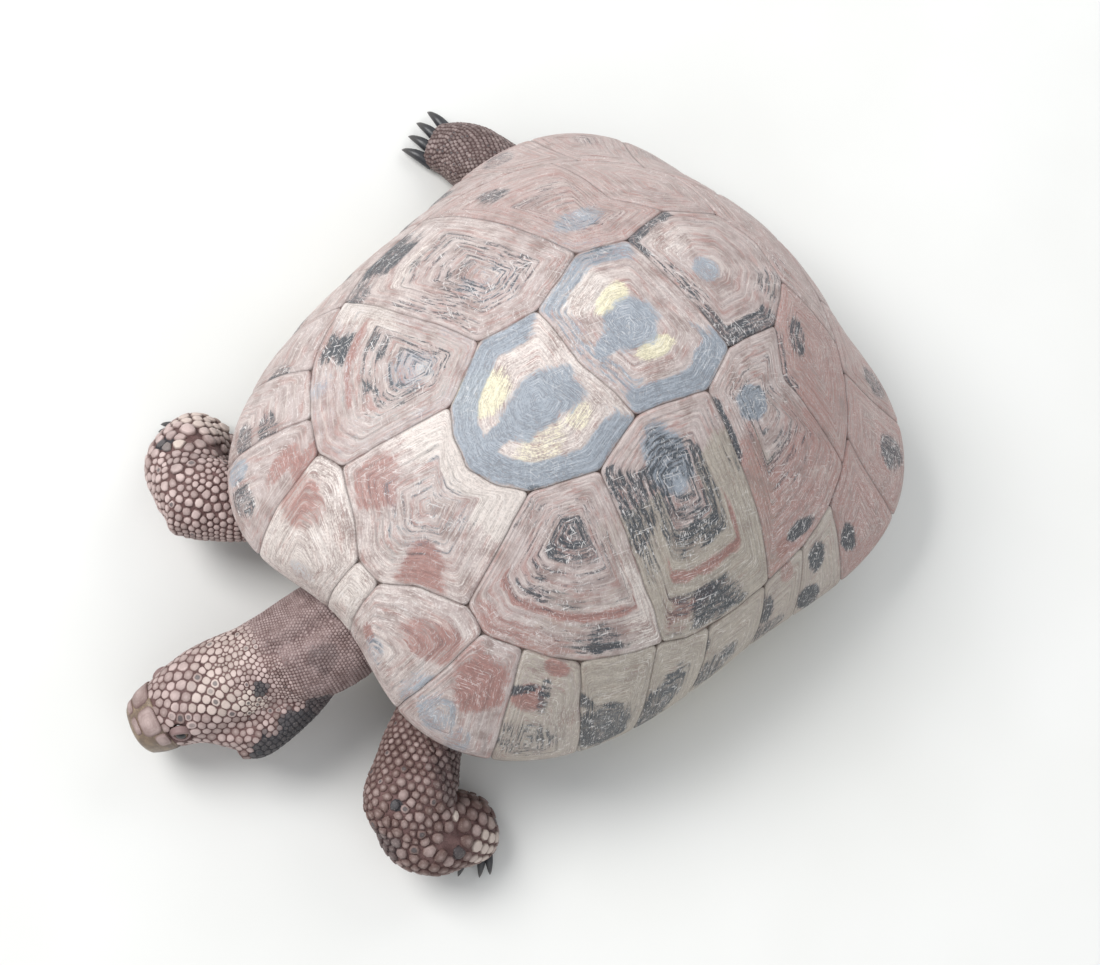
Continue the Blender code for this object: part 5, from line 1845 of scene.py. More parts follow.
@dataclass
class Field:
    """Where and how large the scales of one body part are.

    pitches are widths along the part in millimetres.  Round the part they grow by the share
    swell on the side at the angle toward, in degrees, and shrink on the other side.
    """

    piece: str
    rings: Array
    pitches: tuple
    share: tuple = (0.0, 1.0)
    swell: float = 0.0
    toward: float = 90.0
    relief: float = 0.2
    tilt: float = 0.25
    sides: int = 8
    start: float = 0.0
    gap: float = 0.1
    # shade: mean brightness of the scales; on the legs it also holds painted light and shade.
    shade: float = 0.35
    vary: float = 0.22
    point: float = 0.0
    row_step: float = 0.87

    def roots(self, seed: int) -> dict:
        """Places, widths, lie and unwrap places of the scales, on rows across the part.

        Rows are row_step times one pitch apart, and each row is divided by its own pitch, with
        every other row set off by half and a small random shift.

        Args:
            seed: picks another pattern.

        Returns:
            The scales, value by value.
        """
        rows, columns = self.rings.shape[:2]
        turn = full_turn(columns)
        factor = 1.0 + self.swell * np.cos(turn - math.radians(self.toward))
        along = np.linspace(0.0, 1.0, rows)
        pitch = spline(np.array(self.pitches)[:, None], along)[:, 0] * MM
        stride = np.linalg.norm(np.diff(self.rings, axis=0), axis=2).mean(axis=1)
        count = np.concatenate([[0.0], np.cumsum(stride / (self.row_step * 0.5 * (pitch[1:] + pitch[:-1])))])
        found = {"place": [], "width": [], "u": [], "v": []}
        for k in range(1, int(count[-1])):
            u = np.interp(k, count, along)
            if u < self.start:
                continue
            index = u * (rows - 1)
            low, part = int(index), index - int(index)
            ring = self.rings[low] * (1 - part) + self.rings[min(low + 1, rows - 1)] * part
            closed = np.vstack([ring, ring[:1]])
            here = np.interp(u, along, pitch)
            local = here * np.append(factor, factor[0])
            steps = lengths(closed) / (0.5 * (local[1:] + local[:-1]))
            total = np.concatenate([[0.0], np.cumsum(steps)])
            number = max(5, round(total[-1]))
            step = np.arange(number)
            cell = np.stack([step * 1.7, np.full(number, k * 2.3), np.full(number, seed)], axis=1)
            shift = 0.5 * (k % 2) + 0.34 * (lattice(cell, 1) - 0.5)
            at = ((step + shift) / number * total[-1]) % total[-1]
            found["place"].append(walk(at, total, closed))
            turn_at = np.interp(at, total, np.linspace(0.0, 1.0, columns + 1))
            found["v"].append(turn_at)
            found["u"].append(np.full(number, u))
            grown = 1 + self.swell * np.cos(turn_at * 2 * np.pi - math.radians(self.toward))
            found["width"].append(here * grown * (0.88 + 0.24 * lattice(cell, 2)))
        roots = {key: np.concatenate(value) for key, value in found.items()}
        roots["width"] = roots["width"] * (1.0 + self.vary * noise(roots["place"], 140.0, 9))
        return roots


@dataclass
class ScaleCoat:
    """All scales of the flesh: polygons between neighbours, domed, rooted in the skin."""

    skin: bpy.types.Object
    finish: bpy.types.Material
    neighbours: int = 14
    directions: int = 12
    near: float = 3.6 * MM
    root_depth: float = 0.35 * MM
    floor_gap: float = 1.4 * MM
    eye_gap: float = 4.9 * MM
    crowded: float = 0.3
    outgrown: float = 1.4
    rest: float = 0.52
    push: float = 0.22
    rounds: int = 8
    widest: float = 0.72

    def fields(self) -> list:
        """The body parts and their scales.

        Returns:
            The fields.
        """
        found = [
            Field("neck", NECK.rings(60, 72)[1], (1.2, 1.15, 1.1, 1.25, 1.5), relief=0.15, tilt=0.05,
                  sides=6, start=0.22, gap=0.03, shade=0.46, vary=0.1),
            Field("throat", THROAT.rings(40, 60)[1], (1.4, 2.0, 2.4, 2.6), (0.05, 1.0), relief=0.085,
                  tilt=0.0, sides=9, gap=0.07, shade=0.55),
            Field("head", HEAD.placed(HEAD.rings(60, 72, -0.1, 0.76)),
                  (1.5, 1.9, 2.6, 3.1, 3.0, 2.6, 2.3), swell=0.32, relief=0.085, tilt=0.0, sides=10,
                  gap=0.07, shade=0.66),
            Field("tail", TAIL.rings(40, 48)[1], (1.6, 1.8, 1.7, 1.5), tilt=0.5, point=0.3)]
        # The last number of each leg is the mean brightness of its scales, and it holds painted light and
        # shade: low on the left foreleg and the hind legs as painted shade, high on the right foreleg as
        # painted light.
        legs = {
            "foreleg_left": (((1.3, 1.6, 2.2, 2.9), 0.3, 60.0), ((3.0, 3.4, 3.4, 3.4), 0.44, 90.0), 0.2),
            "foreleg_right": (((1.3, 1.7, 2.2, 2.8), 0.3, 60.0), ((2.8, 3.3, 3.3, 3.4), 0.44, 90.0), 0.78),
            "hind_leg_left": (((1.6, 1.9, 2.2, 2.4), 0.15, 60.0), ((2.4, 2.8, 3.0, 3.0), 0.2, 90.0), 0.25),
            "hind_leg_right": (((1.5, 1.4, 1.5, 1.5), 0.12, 90.0), ((1.5, 1.5, 1.5, 1.7), 0.2, 90.0), 0.3),
        }
        for leg, (*sizes, tone_and_painted_light) in legs.items():
            hind = leg.startswith("hind")
            for k, (loft, (pitches, swell, toward)) in enumerate(zip(LEGS[leg], sizes)):
                found.append(Field(leg, loft.rings(50, 64)[1], pitches, (0.5 * k, 0.5 * k + 0.5),
                                   swell=swell, toward=toward, tilt=0.6 if hind else 0.25, gap=0.13,
                                   shade=tone_and_painted_light, vary=0.36, point=0.35 if hind else 0.05))
        # Each elbow takes its leg's mean brightness, painted light and shade with it.
        for leg, elbow in zip(("foreleg_left", "foreleg_right"), ELBOWS):
            found.append(Field(leg, elbow.rings(30, 60)[1], (3.0, 3.1, 3.1), (0.15, 1.0), gap=0.13,
                               shade=legs[leg][-1], vary=0.36))
        trunk = Trunk().rings(96)[4:9]
        found.append(Field("body", trunk, (2.6, 2.6, 2.6, 2.6), relief=0.16, sides=7, tilt=0.0))
        return found

    def all_roots(self) -> dict:
        """Roots of every field, with their kind and their place on the unwrap.

        Returns:
            The scales, value by value.
        """
        found = []
        for k, part in enumerate(self.fields()):
            roots = part.roots(k)
            number = len(roots["width"])
            low, high = part.share
            unwrapped = np.stack([roots["v"], low + (high - low) * roots["u"]], axis=1)
            roots["uv"] = 0.01 + 0.98 * unwrapped
            flow = np.gradient(part.rings, axis=0).mean(axis=1)
            roots["lie"] = unit(walk(roots["u"] * (len(flow) - 1), np.arange(len(flow)), flow))
            for key in ("relief", "tilt", "sides", "gap", "shade", "point"):
                value = getattr(part, key)
                roots[key] = np.full(number, value, float)
            roots["piece"] = np.full(number, part.piece)
            found.append(roots)
        return {key: np.concatenate([roots[key] for roots in found]) for key in found[0]}

    def on_skin(self, places: Array, offset: float) -> Array:
        """Places moved to the skin, or to a height over it, by a shrinkwrap.

        Args:
            places: places in the row frame.
            offset: height over the skin.

        Returns:
            The moved places.
        """
        cloud = bpy.data.meshes.new("roots")
        cloud.from_pydata(places.tolist(), [], [])
        holder = new_object("roots", cloud)
        wrap = holder.modifiers.new("wrap", "SHRINKWRAP")
        wrap.target = self.skin
        wrap.wrap_mode = "ABOVE_SURFACE"
        wrap.offset = offset
        mesh = holder.evaluated_get(bpy.context.evaluated_depsgraph_get()).to_mesh()
        found = np.empty(len(places) * 3)
        mesh.vertices.foreach_get("co", found)
        bpy.data.objects.remove(holder)
        return found.reshape(-1, 3)

    def nearest(self, places: Array, count: int) -> tuple:
        """Indices and distances of each place's nearest others, by blocks of a distance table.

        Args:
            places: places in the row frame.
            count: how many others.

        Returns:
            The indices and the distances.
        """
        places = places.astype(np.float32) * 1000.0
        square = (places ** 2).sum(axis=1)
        order, far = [], []
        for block in np.array_split(np.arange(len(places)), max(1, len(places) // 800)):
            table = square[block][:, None] + square[None, :] - 2.0 * places[block] @ places.T
            table[np.arange(len(block)), block] = np.inf
            best = np.argpartition(table, count, axis=1)[:, :count]
            order.append(best)
            far.append(np.sqrt(np.maximum(np.take_along_axis(table, best, axis=1), 0.0)))
        return np.concatenate(order), np.concatenate(far) / 1000.0

    def thinned(self, roots: dict, keep: Array) -> dict:
        """The values for which keep is true."""
        return {key: value[keep] for key, value in roots.items()}

    def settled(self) -> dict:
        """Roots on the skin, clear of each other and of other pieces, evenly apart.

        Returns:
            The scales that stay, with their normals.
        """
        roots = self.all_roots()
        wrapped = self.on_skin(roots["place"], 0.0)
        moved = np.linalg.norm(wrapped - roots["place"], axis=1)
        roots["place"] = wrapped
        roots = self.thinned(roots, (moved < self.near) & self.clear(wrapped))
        order, far = self.nearest(roots["place"], 6)
        index = np.arange(len(order))[:, None]
        tight = far < self.crowded * (roots["width"][:, None] + roots["width"][order])
        own, other = roots["width"][:, None], roots["width"][order]
        smaller = (order < index) & (other > own / self.outgrown)
        loses = tight & ((other > own * self.outgrown) | smaller)
        roots = self.thinned(roots, ~loses.any(axis=1))
        order, far = self.nearest(roots["place"], 10)
        place = roots["place"]
        for _ in range(self.rounds):
            gap = place[:, None] - place[order]
            length = np.linalg.norm(gap, axis=2)
            rest = self.rest * (roots["width"][:, None] + roots["width"][order])
            push = np.clip(rest - length, 0.0, None) / np.maximum(length, 1e-6)
            place = place + self.push * (gap * push[..., None]).sum(axis=1)
        roots["place"] = self.on_skin(place, 0.0)
        roots["normal"] = unit(self.on_skin(place, 1.0 * MM) - roots["place"])
        return self.thinned(roots, self.clear(roots["place"]))

    def clear(self, places: Array) -> Array:
        """Whether a place is away from the eyes, the beak, the floor and the hidden trunk.

        Args:
            places: places in the row frame.

        Returns:
            True where a scale may stand.
        """
        head = HEAD.local(places)
        free = (places[:, 2] > self.floor_gap) & (head[:, 0] < HEAD.beak_start * HEAD.length)
        for sign in (1, -1):
            offset = head - HEAD.eye_centre(sign)
            along = offset @ HEAD.eye_axis(sign)
            across = np.sqrt(np.maximum((offset ** 2).sum(axis=1) - along ** 2, 0.0))
            free &= ~((across < self.eye_gap) & (along > 0.0))
        x, y, z = (places - SHELL_PLACE).T
        amidships = np.abs(y) < 0.04
        beneath = (np.abs(x) < LOWER_FORM.half_width(y)) & (y > -0.08) & (y < 0.085)
        return free & ~amidships & ~(beneath & (z < LOWER_FORM.low(x, y) + 1.0 * MM))

    def build(self) -> None:
        """Makes the scales of each body part as one piece."""
        roots = self.settled()
        radii, turns = self.polygons(roots)
        marks = flesh_marks(roots["place"])
        for name in np.unique(roots["piece"]):
            member = roots["piece"] == name
            for sides in np.unique(roots["sides"][member]):
                pick = member & (roots["sides"] == sides)
                data = self.solids(self.thinned(roots, pick), radii[pick], turns[pick],
                                   self.thinned(marks, pick), int(sides))
                hand_over(make_piece(f"scales_{name}", data, self.finish), "skin")

    def polygons(self, roots: dict) -> tuple:
        """Radius of each scale in evenly spaced directions about its normal.

        The bound toward a neighbour is the distance times w / (w + w'), over the cosine of the
        angle to it, and a scale takes the least of all bounds, at most the share widest of its width.

        Args:
            roots: the scales, value by value.

        Returns:
            The radii and their directions.
        """
        order, _ = self.nearest(roots["place"], self.neighbours)
        normal = roots["normal"]
        lie = unit(roots["lie"] - (roots["lie"] * normal).sum(axis=1, keepdims=True) * normal)
        side = np.cross(normal, lie)
        roots["lie"], roots["side"] = lie, side
        gap = roots["place"][order] - roots["place"][:, None]
        x, y = (gap * lie[:, None]).sum(axis=2), (gap * side[:, None]).sum(axis=2)
        heading = np.arctan2(y, x)
        distance = np.hypot(x, y) + 1e-9
        width = roots["width"]
        bound = distance * width[:, None] / (width[:, None] + width[order])
        cell = np.stack([np.arange(len(width)) * 1.3] * 3, axis=1)
        turns = full_turn(self.directions)[None, :] + 0.5 * lattice(cell, 7)[:, None]
        cosine = np.cos(turns[:, :, None] - heading[:, None, :])
        reach = np.where(cosine > 0.2, bound[:, None, :] / np.maximum(cosine, 0.2), np.inf).min(axis=2)
        return np.minimum(reach, self.widest * width[:, None]), turns

    def solids(self, roots: dict, reach: Array, turns: Array, marks: dict, sides: int) -> MeshData:
        """Closed domed solids: a root ring under the skin, a shoulder, an upper ring and a peak.

        Args:
            roots: the scales, value by value.
            reach: radii in even directions.
            turns: those directions.
            marks: pigment shares.
            sides: corners of a scale.

        Returns:
            All of them as one mesh.
        """
        count = len(reach)
        angle = full_turn(sides)[None, :] + turns[:, :1]
        index = (angle - turns[:, :1]) / (2 * np.pi) * self.directions
        low = index.astype(int) % self.directions
        share = index - np.floor(index)
        rows = np.arange(count)[:, None]
        radius = reach[rows, low] * (1 - share) + reach[rows, (low + 1) % self.directions] * share
        mean = radius.mean(axis=1, keepdims=True)
        radius = (0.86 * radius + 0.14 * mean) * (1.0 - roots["gap"][:, None])
        bearing = angle - 2.0 * np.pi * np.floor(angle / (2.0 * np.pi))
        radius = radius * (1.0 + roots["point"][:, None] * np.clip(np.cos(bearing), 0.0, 1.0) ** 3)
        height = (roots["relief"] * mean[:, 0] * 2.0)[:, None]
        lean = (roots["tilt"] * height[:, 0])[:, None]
        levels = ((1.0, -1.0), (0.98, 0.3), (0.84, 0.82), (0.45, 1.0))
        if sides <= 6:
            levels = ((1.0, -1.0), (0.9, 0.45), (0.55, 0.95))
        layers, centres, patches = [], [], []
        for spread, rise in levels:
            x, y = radius * spread * np.cos(angle), radius * spread * np.sin(angle)
            z = -self.root_depth if rise < 0 else height * rise + lean * x / mean * 0.9
            z = np.broadcast_to(z, x.shape)
            layers.append(roots["place"][:, None] + x[..., None] * roots["lie"][:, None]
                          + y[..., None] * roots["side"][:, None] + z[..., None] * roots["normal"][:, None])
            centres.append(np.full(x.shape, 1.0 - spread))
            spot = np.stack([x, y], axis=-1) / (mean[..., None] * 1.4)
            patches.append(roots["uv"][:, None] + 0.0015 * spot)
        peak = roots["place"] + roots["normal"] * height * 1.04
        base = roots["place"] - roots["normal"] * self.root_depth
        rings = np.stack(layers, axis=1).reshape(count, -1, 3)
        points = np.concatenate([rings, peak[:, None], base[:, None]], axis=1)
        each = points.shape[1]
        quads = grid_quads(len(levels), sides)
        last, ring = each - 2, np.arange(sides)
        ends = np.concatenate([fan(last, ring + last - sides), fan(last + 1, ring, flip=True)])
        starts = (np.arange(count) * each)[:, None, None]
        centre = np.concatenate([np.stack(centres, axis=1).reshape(count, -1), np.ones((count, 1)),
                                 np.zeros((count, 1))], axis=1)
        uv = np.concatenate([np.stack(patches, axis=1).reshape(count, -1, 2), roots["uv"][:, None],
                             roots["uv"][:, None]], axis=1)
        key = np.round(roots["place"] * 1e5)
        # Brightness of each scale: its field's mean with a random spread; on the legs that mean holds
        # painted light and shade.
        tone_and_painted_light = np.clip(roots["shade"] + 0.55 * (lattice(key, 5) - 0.5), 0.0, 1.0)
        single = {"tone_and_painted_light": tone_and_painted_light, "spot": lattice(key, 6), **marks}
        values = {"centre": centre.ravel(), **{k: np.repeat(v, each) for k, v in single.items()}}
        return MeshData(points.reshape(-1, 3), (quads + starts).reshape(-1, 4),
                        (ends + starts).reshape(-1, 3), values, uv.reshape(-1, 2)).outward()


# ---- eyes, lids, beak ----

@dataclass(frozen=True)
class EyeFinish:
    """A dark eye with a wet shine: black pupil, brown iris, darker rim."""

    pupil: tuple = shade(8, 7, 8)
    iris: tuple = shade(58, 38, 26)
    ring: tuple = shade(112, 80, 50)
    white: tuple = shade(40, 30, 28)

    def material(self) -> bpy.types.Material:
        """The node material; gaze is the angle from the eye's axis, 0 to 1 for 90 degrees.

        Returns:
            The material.
        """
        recipe = Recipe("eye", 0.06, 0.6)
        gaze = recipe.attribute("gaze")
        fleck = recipe.grain(2600.0, 3.0)
        colour = recipe.mix(recipe.ramp(fleck, 0.35, 0.65), self.iris, self.ring)
        colour = recipe.lay(colour, self.pupil, gaze, 0.25, 0.31, 1.0, 0.0)
        colour = recipe.lay(colour, self.white, gaze, 0.5, 0.6)
        return recipe.finish(colour)


@dataclass(frozen=True)
class BeakFinish:
    """Horn of the beak: yellowish brown, darker toward the cutting edge, streaked, with painted shade in the
    nostrils.
    """

    horn: tuple = shade(112, 92, 78)
    dark: tuple = shade(58, 48, 44)
    pale: tuple = shade(154, 132, 108)

    def material(self) -> bpy.types.Material:
        """The node material, with streaks along each piece's own run.

        Returns:
            The material.
        """
        recipe = Recipe("beak_horn", 0.34, 0.5)
        run = recipe.attribute("run", vector=True)
        streak = recipe.noise(recipe.stretched(run, (3.0, 60.0, 1.0)), 1.0, 4.0)
        wash = recipe.grain(300.0, 4.0)
        colour = recipe.mix(recipe.ramp(wash, 0.3, 0.7), self.horn, self.pale)
        colour = recipe.lay(colour, self.dark, streak, 0.42, 0.68, 0.0, 0.85)
        # Darker along the cutting edge, and painted shade in the nostril dents.
        colour = recipe.mix(recipe.attribute("edge"), colour, self.dark)
        return recipe.finish(colour, None, streak, 0.08 * MM)


@dataclass(frozen=True)
class ClawFinish:
    """Dark claws with paler tips."""

    root: tuple = shade(46, 46, 50)
    tip: tuple = shade(96, 92, 88)

    def material(self) -> bpy.types.Material:
        """The node material; edge runs from 0 at the root to 1 at the tip.

        Returns:
            The material.
        """
        recipe = Recipe("claw_horn", 0.36, 0.5)
        streak = recipe.grain(900.0, 3.0)
        colour = recipe.mix(recipe.ramp(recipe.attribute("edge"), 0.3, 1.0, 0.0, 0.8), self.root, self.tip)
        colour = recipe.lay(colour, self.root, streak, 0.4, 0.7, 0.0, 0.5)
        return recipe.finish(colour, None, streak, 0.05 * MM)


@dataclass
class HeadPieces:
    """Eyes, eyelids, snout shields and both halves of the beak."""

    eye: bpy.types.Material
    horn: bpy.types.Material
    lid_columns: int = 72

    def frame_of(self, sign: int) -> tuple:
        """Centre and three axes of an eye in the head's frame: forward, up and outward.

        Args:
            sign: 1 for the left eye, -1 for the right.

        Returns:
            The centre and the three axes.
        """
        outward = HEAD.eye_axis(sign)
        up = unit(np.array([0.0, 0.0, 1.0]) - outward * outward[2])
        forward = np.cross(up, outward) * sign
        return HEAD.eye_centre(sign), forward, up, outward

    def eyeball(self, sign: int) -> MeshData:
        """A sphere with a cornea that stands 0.25 mm out over the pupil.

        Args:
            sign: 1 for the left eye, -1 for the right.

        Returns:
            The closed mesh.
        """
        centre, forward, up, outward = self.frame_of(sign)
        polar = np.linspace(0.0, np.pi, 33)[1:-1, None]
        turn = full_turn(48)[None, :]
        radius = HEAD.eye_radius - 0.15 * MM + 0.25 * MM * np.exp(-(polar / 0.55) ** 2)
        flat = (radius * np.sin(polar))[..., None]
        rings = (centre + flat * (np.cos(turn)[..., None] * forward + np.sin(turn)[..., None] * up)
                 + (radius * np.cos(polar))[..., None] * outward * np.ones(turn.shape)[..., None])
        data = closed_stack(rings, centre + outward * (HEAD.eye_radius + 0.1 * MM),
                            centre - outward * (HEAD.eye_radius - 0.15 * MM))
        data.values = {"gaze": np.concatenate([np.repeat(polar[:, 0] / (np.pi / 2), 48), [0.0, 2.0]])}
        data.points = HEAD.placed(data.points)
        return data.outward()

    def lids(self, sign: int) -> MeshData:
        """Both lids as one closed ring round the eye.

        The opening is an almond, in millimetres: x = 2.75 cos t and y = b |sin t|^1.25 - 0.12 x,
        with b 1.55 over the eye's middle and 1.85 under it.  The profile goes from the lid's
        edge on the eyeball over a thick rim to a foot under the skin, and back.

        Args:
            sign: 1 for the left eye, -1 for the right.

        Returns:
            The closed mesh.
        """
        centre, forward, up, outward = self.frame_of(sign)
        turn = full_turn(self.lid_columns)
        x = np.cos(turn) * 2.75
        y = np.sign(np.sin(turn)) * np.abs(np.sin(turn)) ** 1.25 * np.where(np.sin(turn) > 0, 1.55, 1.85)
        y = y - 0.12 * x
        inner = np.stack([x, y], axis=1)
        outer = np.stack([np.cos(turn) * 5.4, np.sin(turn) * 4.9], axis=1)
        heavy = np.clip(np.sin(turn), 0.0, 1.0)
        steps = np.array([0.0, 0.05, 0.14, 0.26, 0.38, 0.52, 0.68, 0.84, 1.0])
        lifts = np.array([0.1, 0.34, 0.5, 0.54, 0.46, 0.28, 0.2, -0.1, -1.1])
        rings = []
        for step, lift in zip(steps, lifts):
            flat = inner + (outer - inner) * step
            crease = -0.16 * np.exp(-((step - 0.52) / 0.1) ** 2)
            pleat = 0.07 * np.cos(24 * turn + 5.0 * step) * np.exp(-((step - 0.34) / 0.2) ** 2)
            extra = (lift * 0.35 * heavy + crease + pleat) * (step < 0.95)
            rings.append(self.on_ball(flat, 4.05 + lift + extra))
        for step, lift in ((0.9, -1.2), (0.45, -0.9), (0.08, -0.35)):
            rings.append(self.on_ball(inner + (outer - inner) * step, 4.0 + lift))
        rings = np.stack(rings) * MM * (HEAD.eye_radius / (4.0 * MM))
        points = centre + rings @ np.stack([forward, up, outward])
        rows, columns = points.shape[:2]
        quads = grid_quads(rows, columns)
        first, last = np.arange(columns), np.arange(columns) + (rows - 1) * columns
        closing = np.stack([last, np.roll(last, -1), np.roll(first, -1), first], axis=1)
        placed = HEAD.placed(points.reshape(-1, 3))
        return MeshData(placed, np.concatenate([quads, closing]), values=flesh_marks(placed)).outward()

    def on_ball(self, flat: Array, radius: Array) -> Array:
        """Flat places laid on a ball round the eye, widening to a cone beyond its side.

        Args:
            flat: places in millimetres forward and up.
            radius: radius of the ball in millimetres.

        Returns:
            Places forward, up and outward.
        """
        reach = np.linalg.norm(flat, axis=1)
        angle = np.minimum(reach / 4.05, 0.95)
        beyond = np.clip(reach / 4.05 - 0.95, 0.0, None) * 4.05
        radius = np.broadcast_to(radius, reach.shape)
        spread = radius * np.sin(angle) + beyond
        depth = radius * np.cos(angle) - beyond * (0.4 + 0.25 * np.clip(flat[:, 0] / 5.0, 0.0, 1.0))
        way = flat / np.maximum(reach, 1e-9)[:, None]
        return np.stack([way[:, 0] * spread, way[:, 1] * spread, depth], axis=1)

    def snout(self, reach: Array) -> tuple:
        """Half width, height over and depth under the head's axis along the snout.

        Args:
            reach: share of the length of the head.

        Returns:
            The three sizes.
        """
        stations = np.array([(0.0119, 0.0119, 0.0114), (0.0108, 0.0104, 0.011), (0.009, 0.0084, 0.0102),
                             (0.0063, 0.006, 0.0088)])
        at = np.interp(reach, (0.743, 0.85, 0.94, 0.99), np.linspace(0.0, 1.0, 4))
        return tuple((spline(stations, at.ravel()) - 0.1 * MM).T.reshape(3, *reach.shape))

    def shields(self) -> MeshData:
        """Scales on top of the snout: a long pair behind the nostrils and a small pair between them.

        Each is a rounded oblong in reach and turn, |u|^4 + |v|^4 = 1, domed over the horn.

        Returns:
            All of them as one mesh.
        """
        parts = []
        turn = full_turn(40)
        square = (np.abs(np.cos(turn)) ** 4 + np.abs(np.sin(turn)) ** 4) ** -0.25
        radii = np.array([0.15, 0.45, 0.75, 0.92, 1.0, 1.0, 0.6, 0.15])[:, None]
        lifts = np.array([0.46, 0.45, 0.38, 0.24, 0.02, -0.5, -0.5, -0.5])[:, None] * MM
        for middle, half, around, spread in ((0.815, 0.072, 28.0, 26.0), (0.915, 0.024, 22.0, 19.0),
                                             (0.79, 0.045, 70.0, 14.0)):
            for sign in (1, -1):
                reach = middle + half * radii * square * np.cos(turn)
                v = np.radians(90.0 - sign * (around + spread * radii * square * np.sin(turn)))
                side, over, under = self.snout(reach)
                y, z = HEAD.oval(side + lifts, over, under, v)
                rings = np.stack([reach * HEAD.length, y, z + lifts * np.sin(v)], axis=-1)
                data = closed_stack(rings)
                centre = np.concatenate([np.repeat(1.0 - radii[:, 0], 40), [1.0, 0.0]])
                data.points = HEAD.placed(data.points)
                tone_and_painted_light = np.full(len(centre), 0.45 + 0.1 * sign * (around > 25.0))
                data.values = {"centre": centre, "tone_and_painted_light": tone_and_painted_light, "spot": np.zeros(len(centre)),
                               **flesh_marks(data.points)}
                parts.append(data.outward())
        return join(parts)

    def beak(self, upper: bool) -> MeshData:
        """One half of the beak, closed, over the CAD stations and drawn in by 0.1 mm.

        Rings run from behind the corner of the mouth to the tip.  The upper half has a keel on
        its front and two nostrils; the lower fits inside it.

        Args:
            upper: which half.

        Returns:
            The closed mesh.
        """
        tip = 0.96 + 0.035 * np.sin(np.linspace(0.1, 1.0, 14) * np.pi / 2)
        reach = np.concatenate([np.linspace(0.742, 0.96, 30), tip])
        tucked = 0.45 * MM * smooth_step(reach, 0.765, 0.745)
        half, over, under = (size[:, None] - tucked[:, None] for size in self.snout(reach))
        round_off = np.clip((reach - 0.96) / 0.035, 0.0, 1.0)[:, None]
        close = np.sqrt(np.clip(1.0 - (round_off * 0.94) ** 2, 0.0, 1.0))
        columns = 64
        if upper:
            low = np.arcsin(np.clip(HEAD.mouth_drop / under, 0.0, 0.9))
            turn = -low + (np.pi + 2 * low) * np.linspace(0.0, 1.0, columns)[None, :]
        else:
            low = np.arcsin(np.clip((HEAD.mouth_drop + 0.35 * MM) / under, 0.0, 0.9))
            turn = np.pi + low + (np.pi - 2 * low) * np.linspace(0.0, 1.0, columns)[None, :]
        y, z = HEAD.oval(half, over, under, turn)
        y = y * close * (1.0 if upper else 0.95)
        pivot = -HEAD.mouth_drop
        z = pivot + (z - pivot) * (close if upper else 1.0 - (1.0 - close) * 0.8)
        z = np.maximum(z, pivot) if upper else np.minimum(z, pivot - 0.3 * MM)
        x = np.broadcast_to((reach * HEAD.length)[:, None], y.shape).copy()
        run = np.stack([x * 1000, np.broadcast_to(turn, y.shape), np.zeros_like(y)], axis=-1)
        edge = bump_at(z - pivot, 0.9 * MM) * 0.8
        if upper:
            keel = bump_at(y, 1.2 * MM) * smooth_step(x, 0.9 * HEAD.length, 0.99 * HEAD.length)
            x = x + 0.0003 * keel * (z < 0.004)
            for sign in (1, -1):
                nostril_dent_and_shade = bump_at(np.sqrt((y - sign * 0.0019) ** 2 + (z - 0.0032) ** 2), 0.75 * MM)
                nostril_dent_and_shade = nostril_dent_and_shade * smooth_step(x, 0.93 * HEAD.length, 0.97 * HEAD.length)
                x = x - 0.0016 * nostril_dent_and_shade
                # The nostril dents are darkened along with the cutting edge: painted shade in the hollows.
                edge = np.maximum(edge, nostril_dent_and_shade)
        rings = np.stack([x, y, z], axis=-1)
        data = closed_stack(rings)
        ends = np.array([0.0, 0.0])
        data.values = {"edge": np.append(edge.ravel(), ends),
                       "run": np.concatenate([run.reshape(-1, 3), np.zeros((2, 3))])}
        data.points = HEAD.placed(data.points)
        return data.outward()

    def build(self) -> None:
        """Makes the pieces of the head."""
        for side, sign in (("left", 1), ("right", -1)):
            hand_over(make_piece(f"eyeball_{side}", self.eyeball(sign), self.eye), "eye", f"eye_{side}")
            lids = make_piece(f"eyelids_{side}", self.lids(sign), bpy.data.materials["skin"])
            hand_over(lids, "skin")
        hand_over(make_piece("snout_shields", self.shields(), bpy.data.materials["scales"]), "skin")
        hand_over(make_piece("upper_beak", self.beak(True), self.horn), "horn", "beak_upper")
        hand_over(make_piece("lower_beak", self.beak(False), self.horn), "horn", "beak_lower")


# ---- claws and tail spur ----

@dataclass(frozen=True)
class Foot:
    """Claws of a foot: their count, heading, length, fan and row, as in the solids."""

    leg: str
    count: int
    aim: tuple
    length: float
    spread: float
    row: float
    half_width: float = 1.75 * MM


FEET = (Foot("foreleg_left", 5, (0.5, -0.87), 0.007, 0.45, 0.008),
        Foot("foreleg_right", 5, (-0.55, -0.84), 0.007, 0.42, 0.0076),
        Foot("hind_leg_left", 4, (0.55, 0.84), 0.009, 0.3, 0.0072, 2.3 * MM),
        Foot("hind_leg_right", 4, (-0.98, -0.16), 0.0105, 0.17, 0.0072, 2.45 * MM))


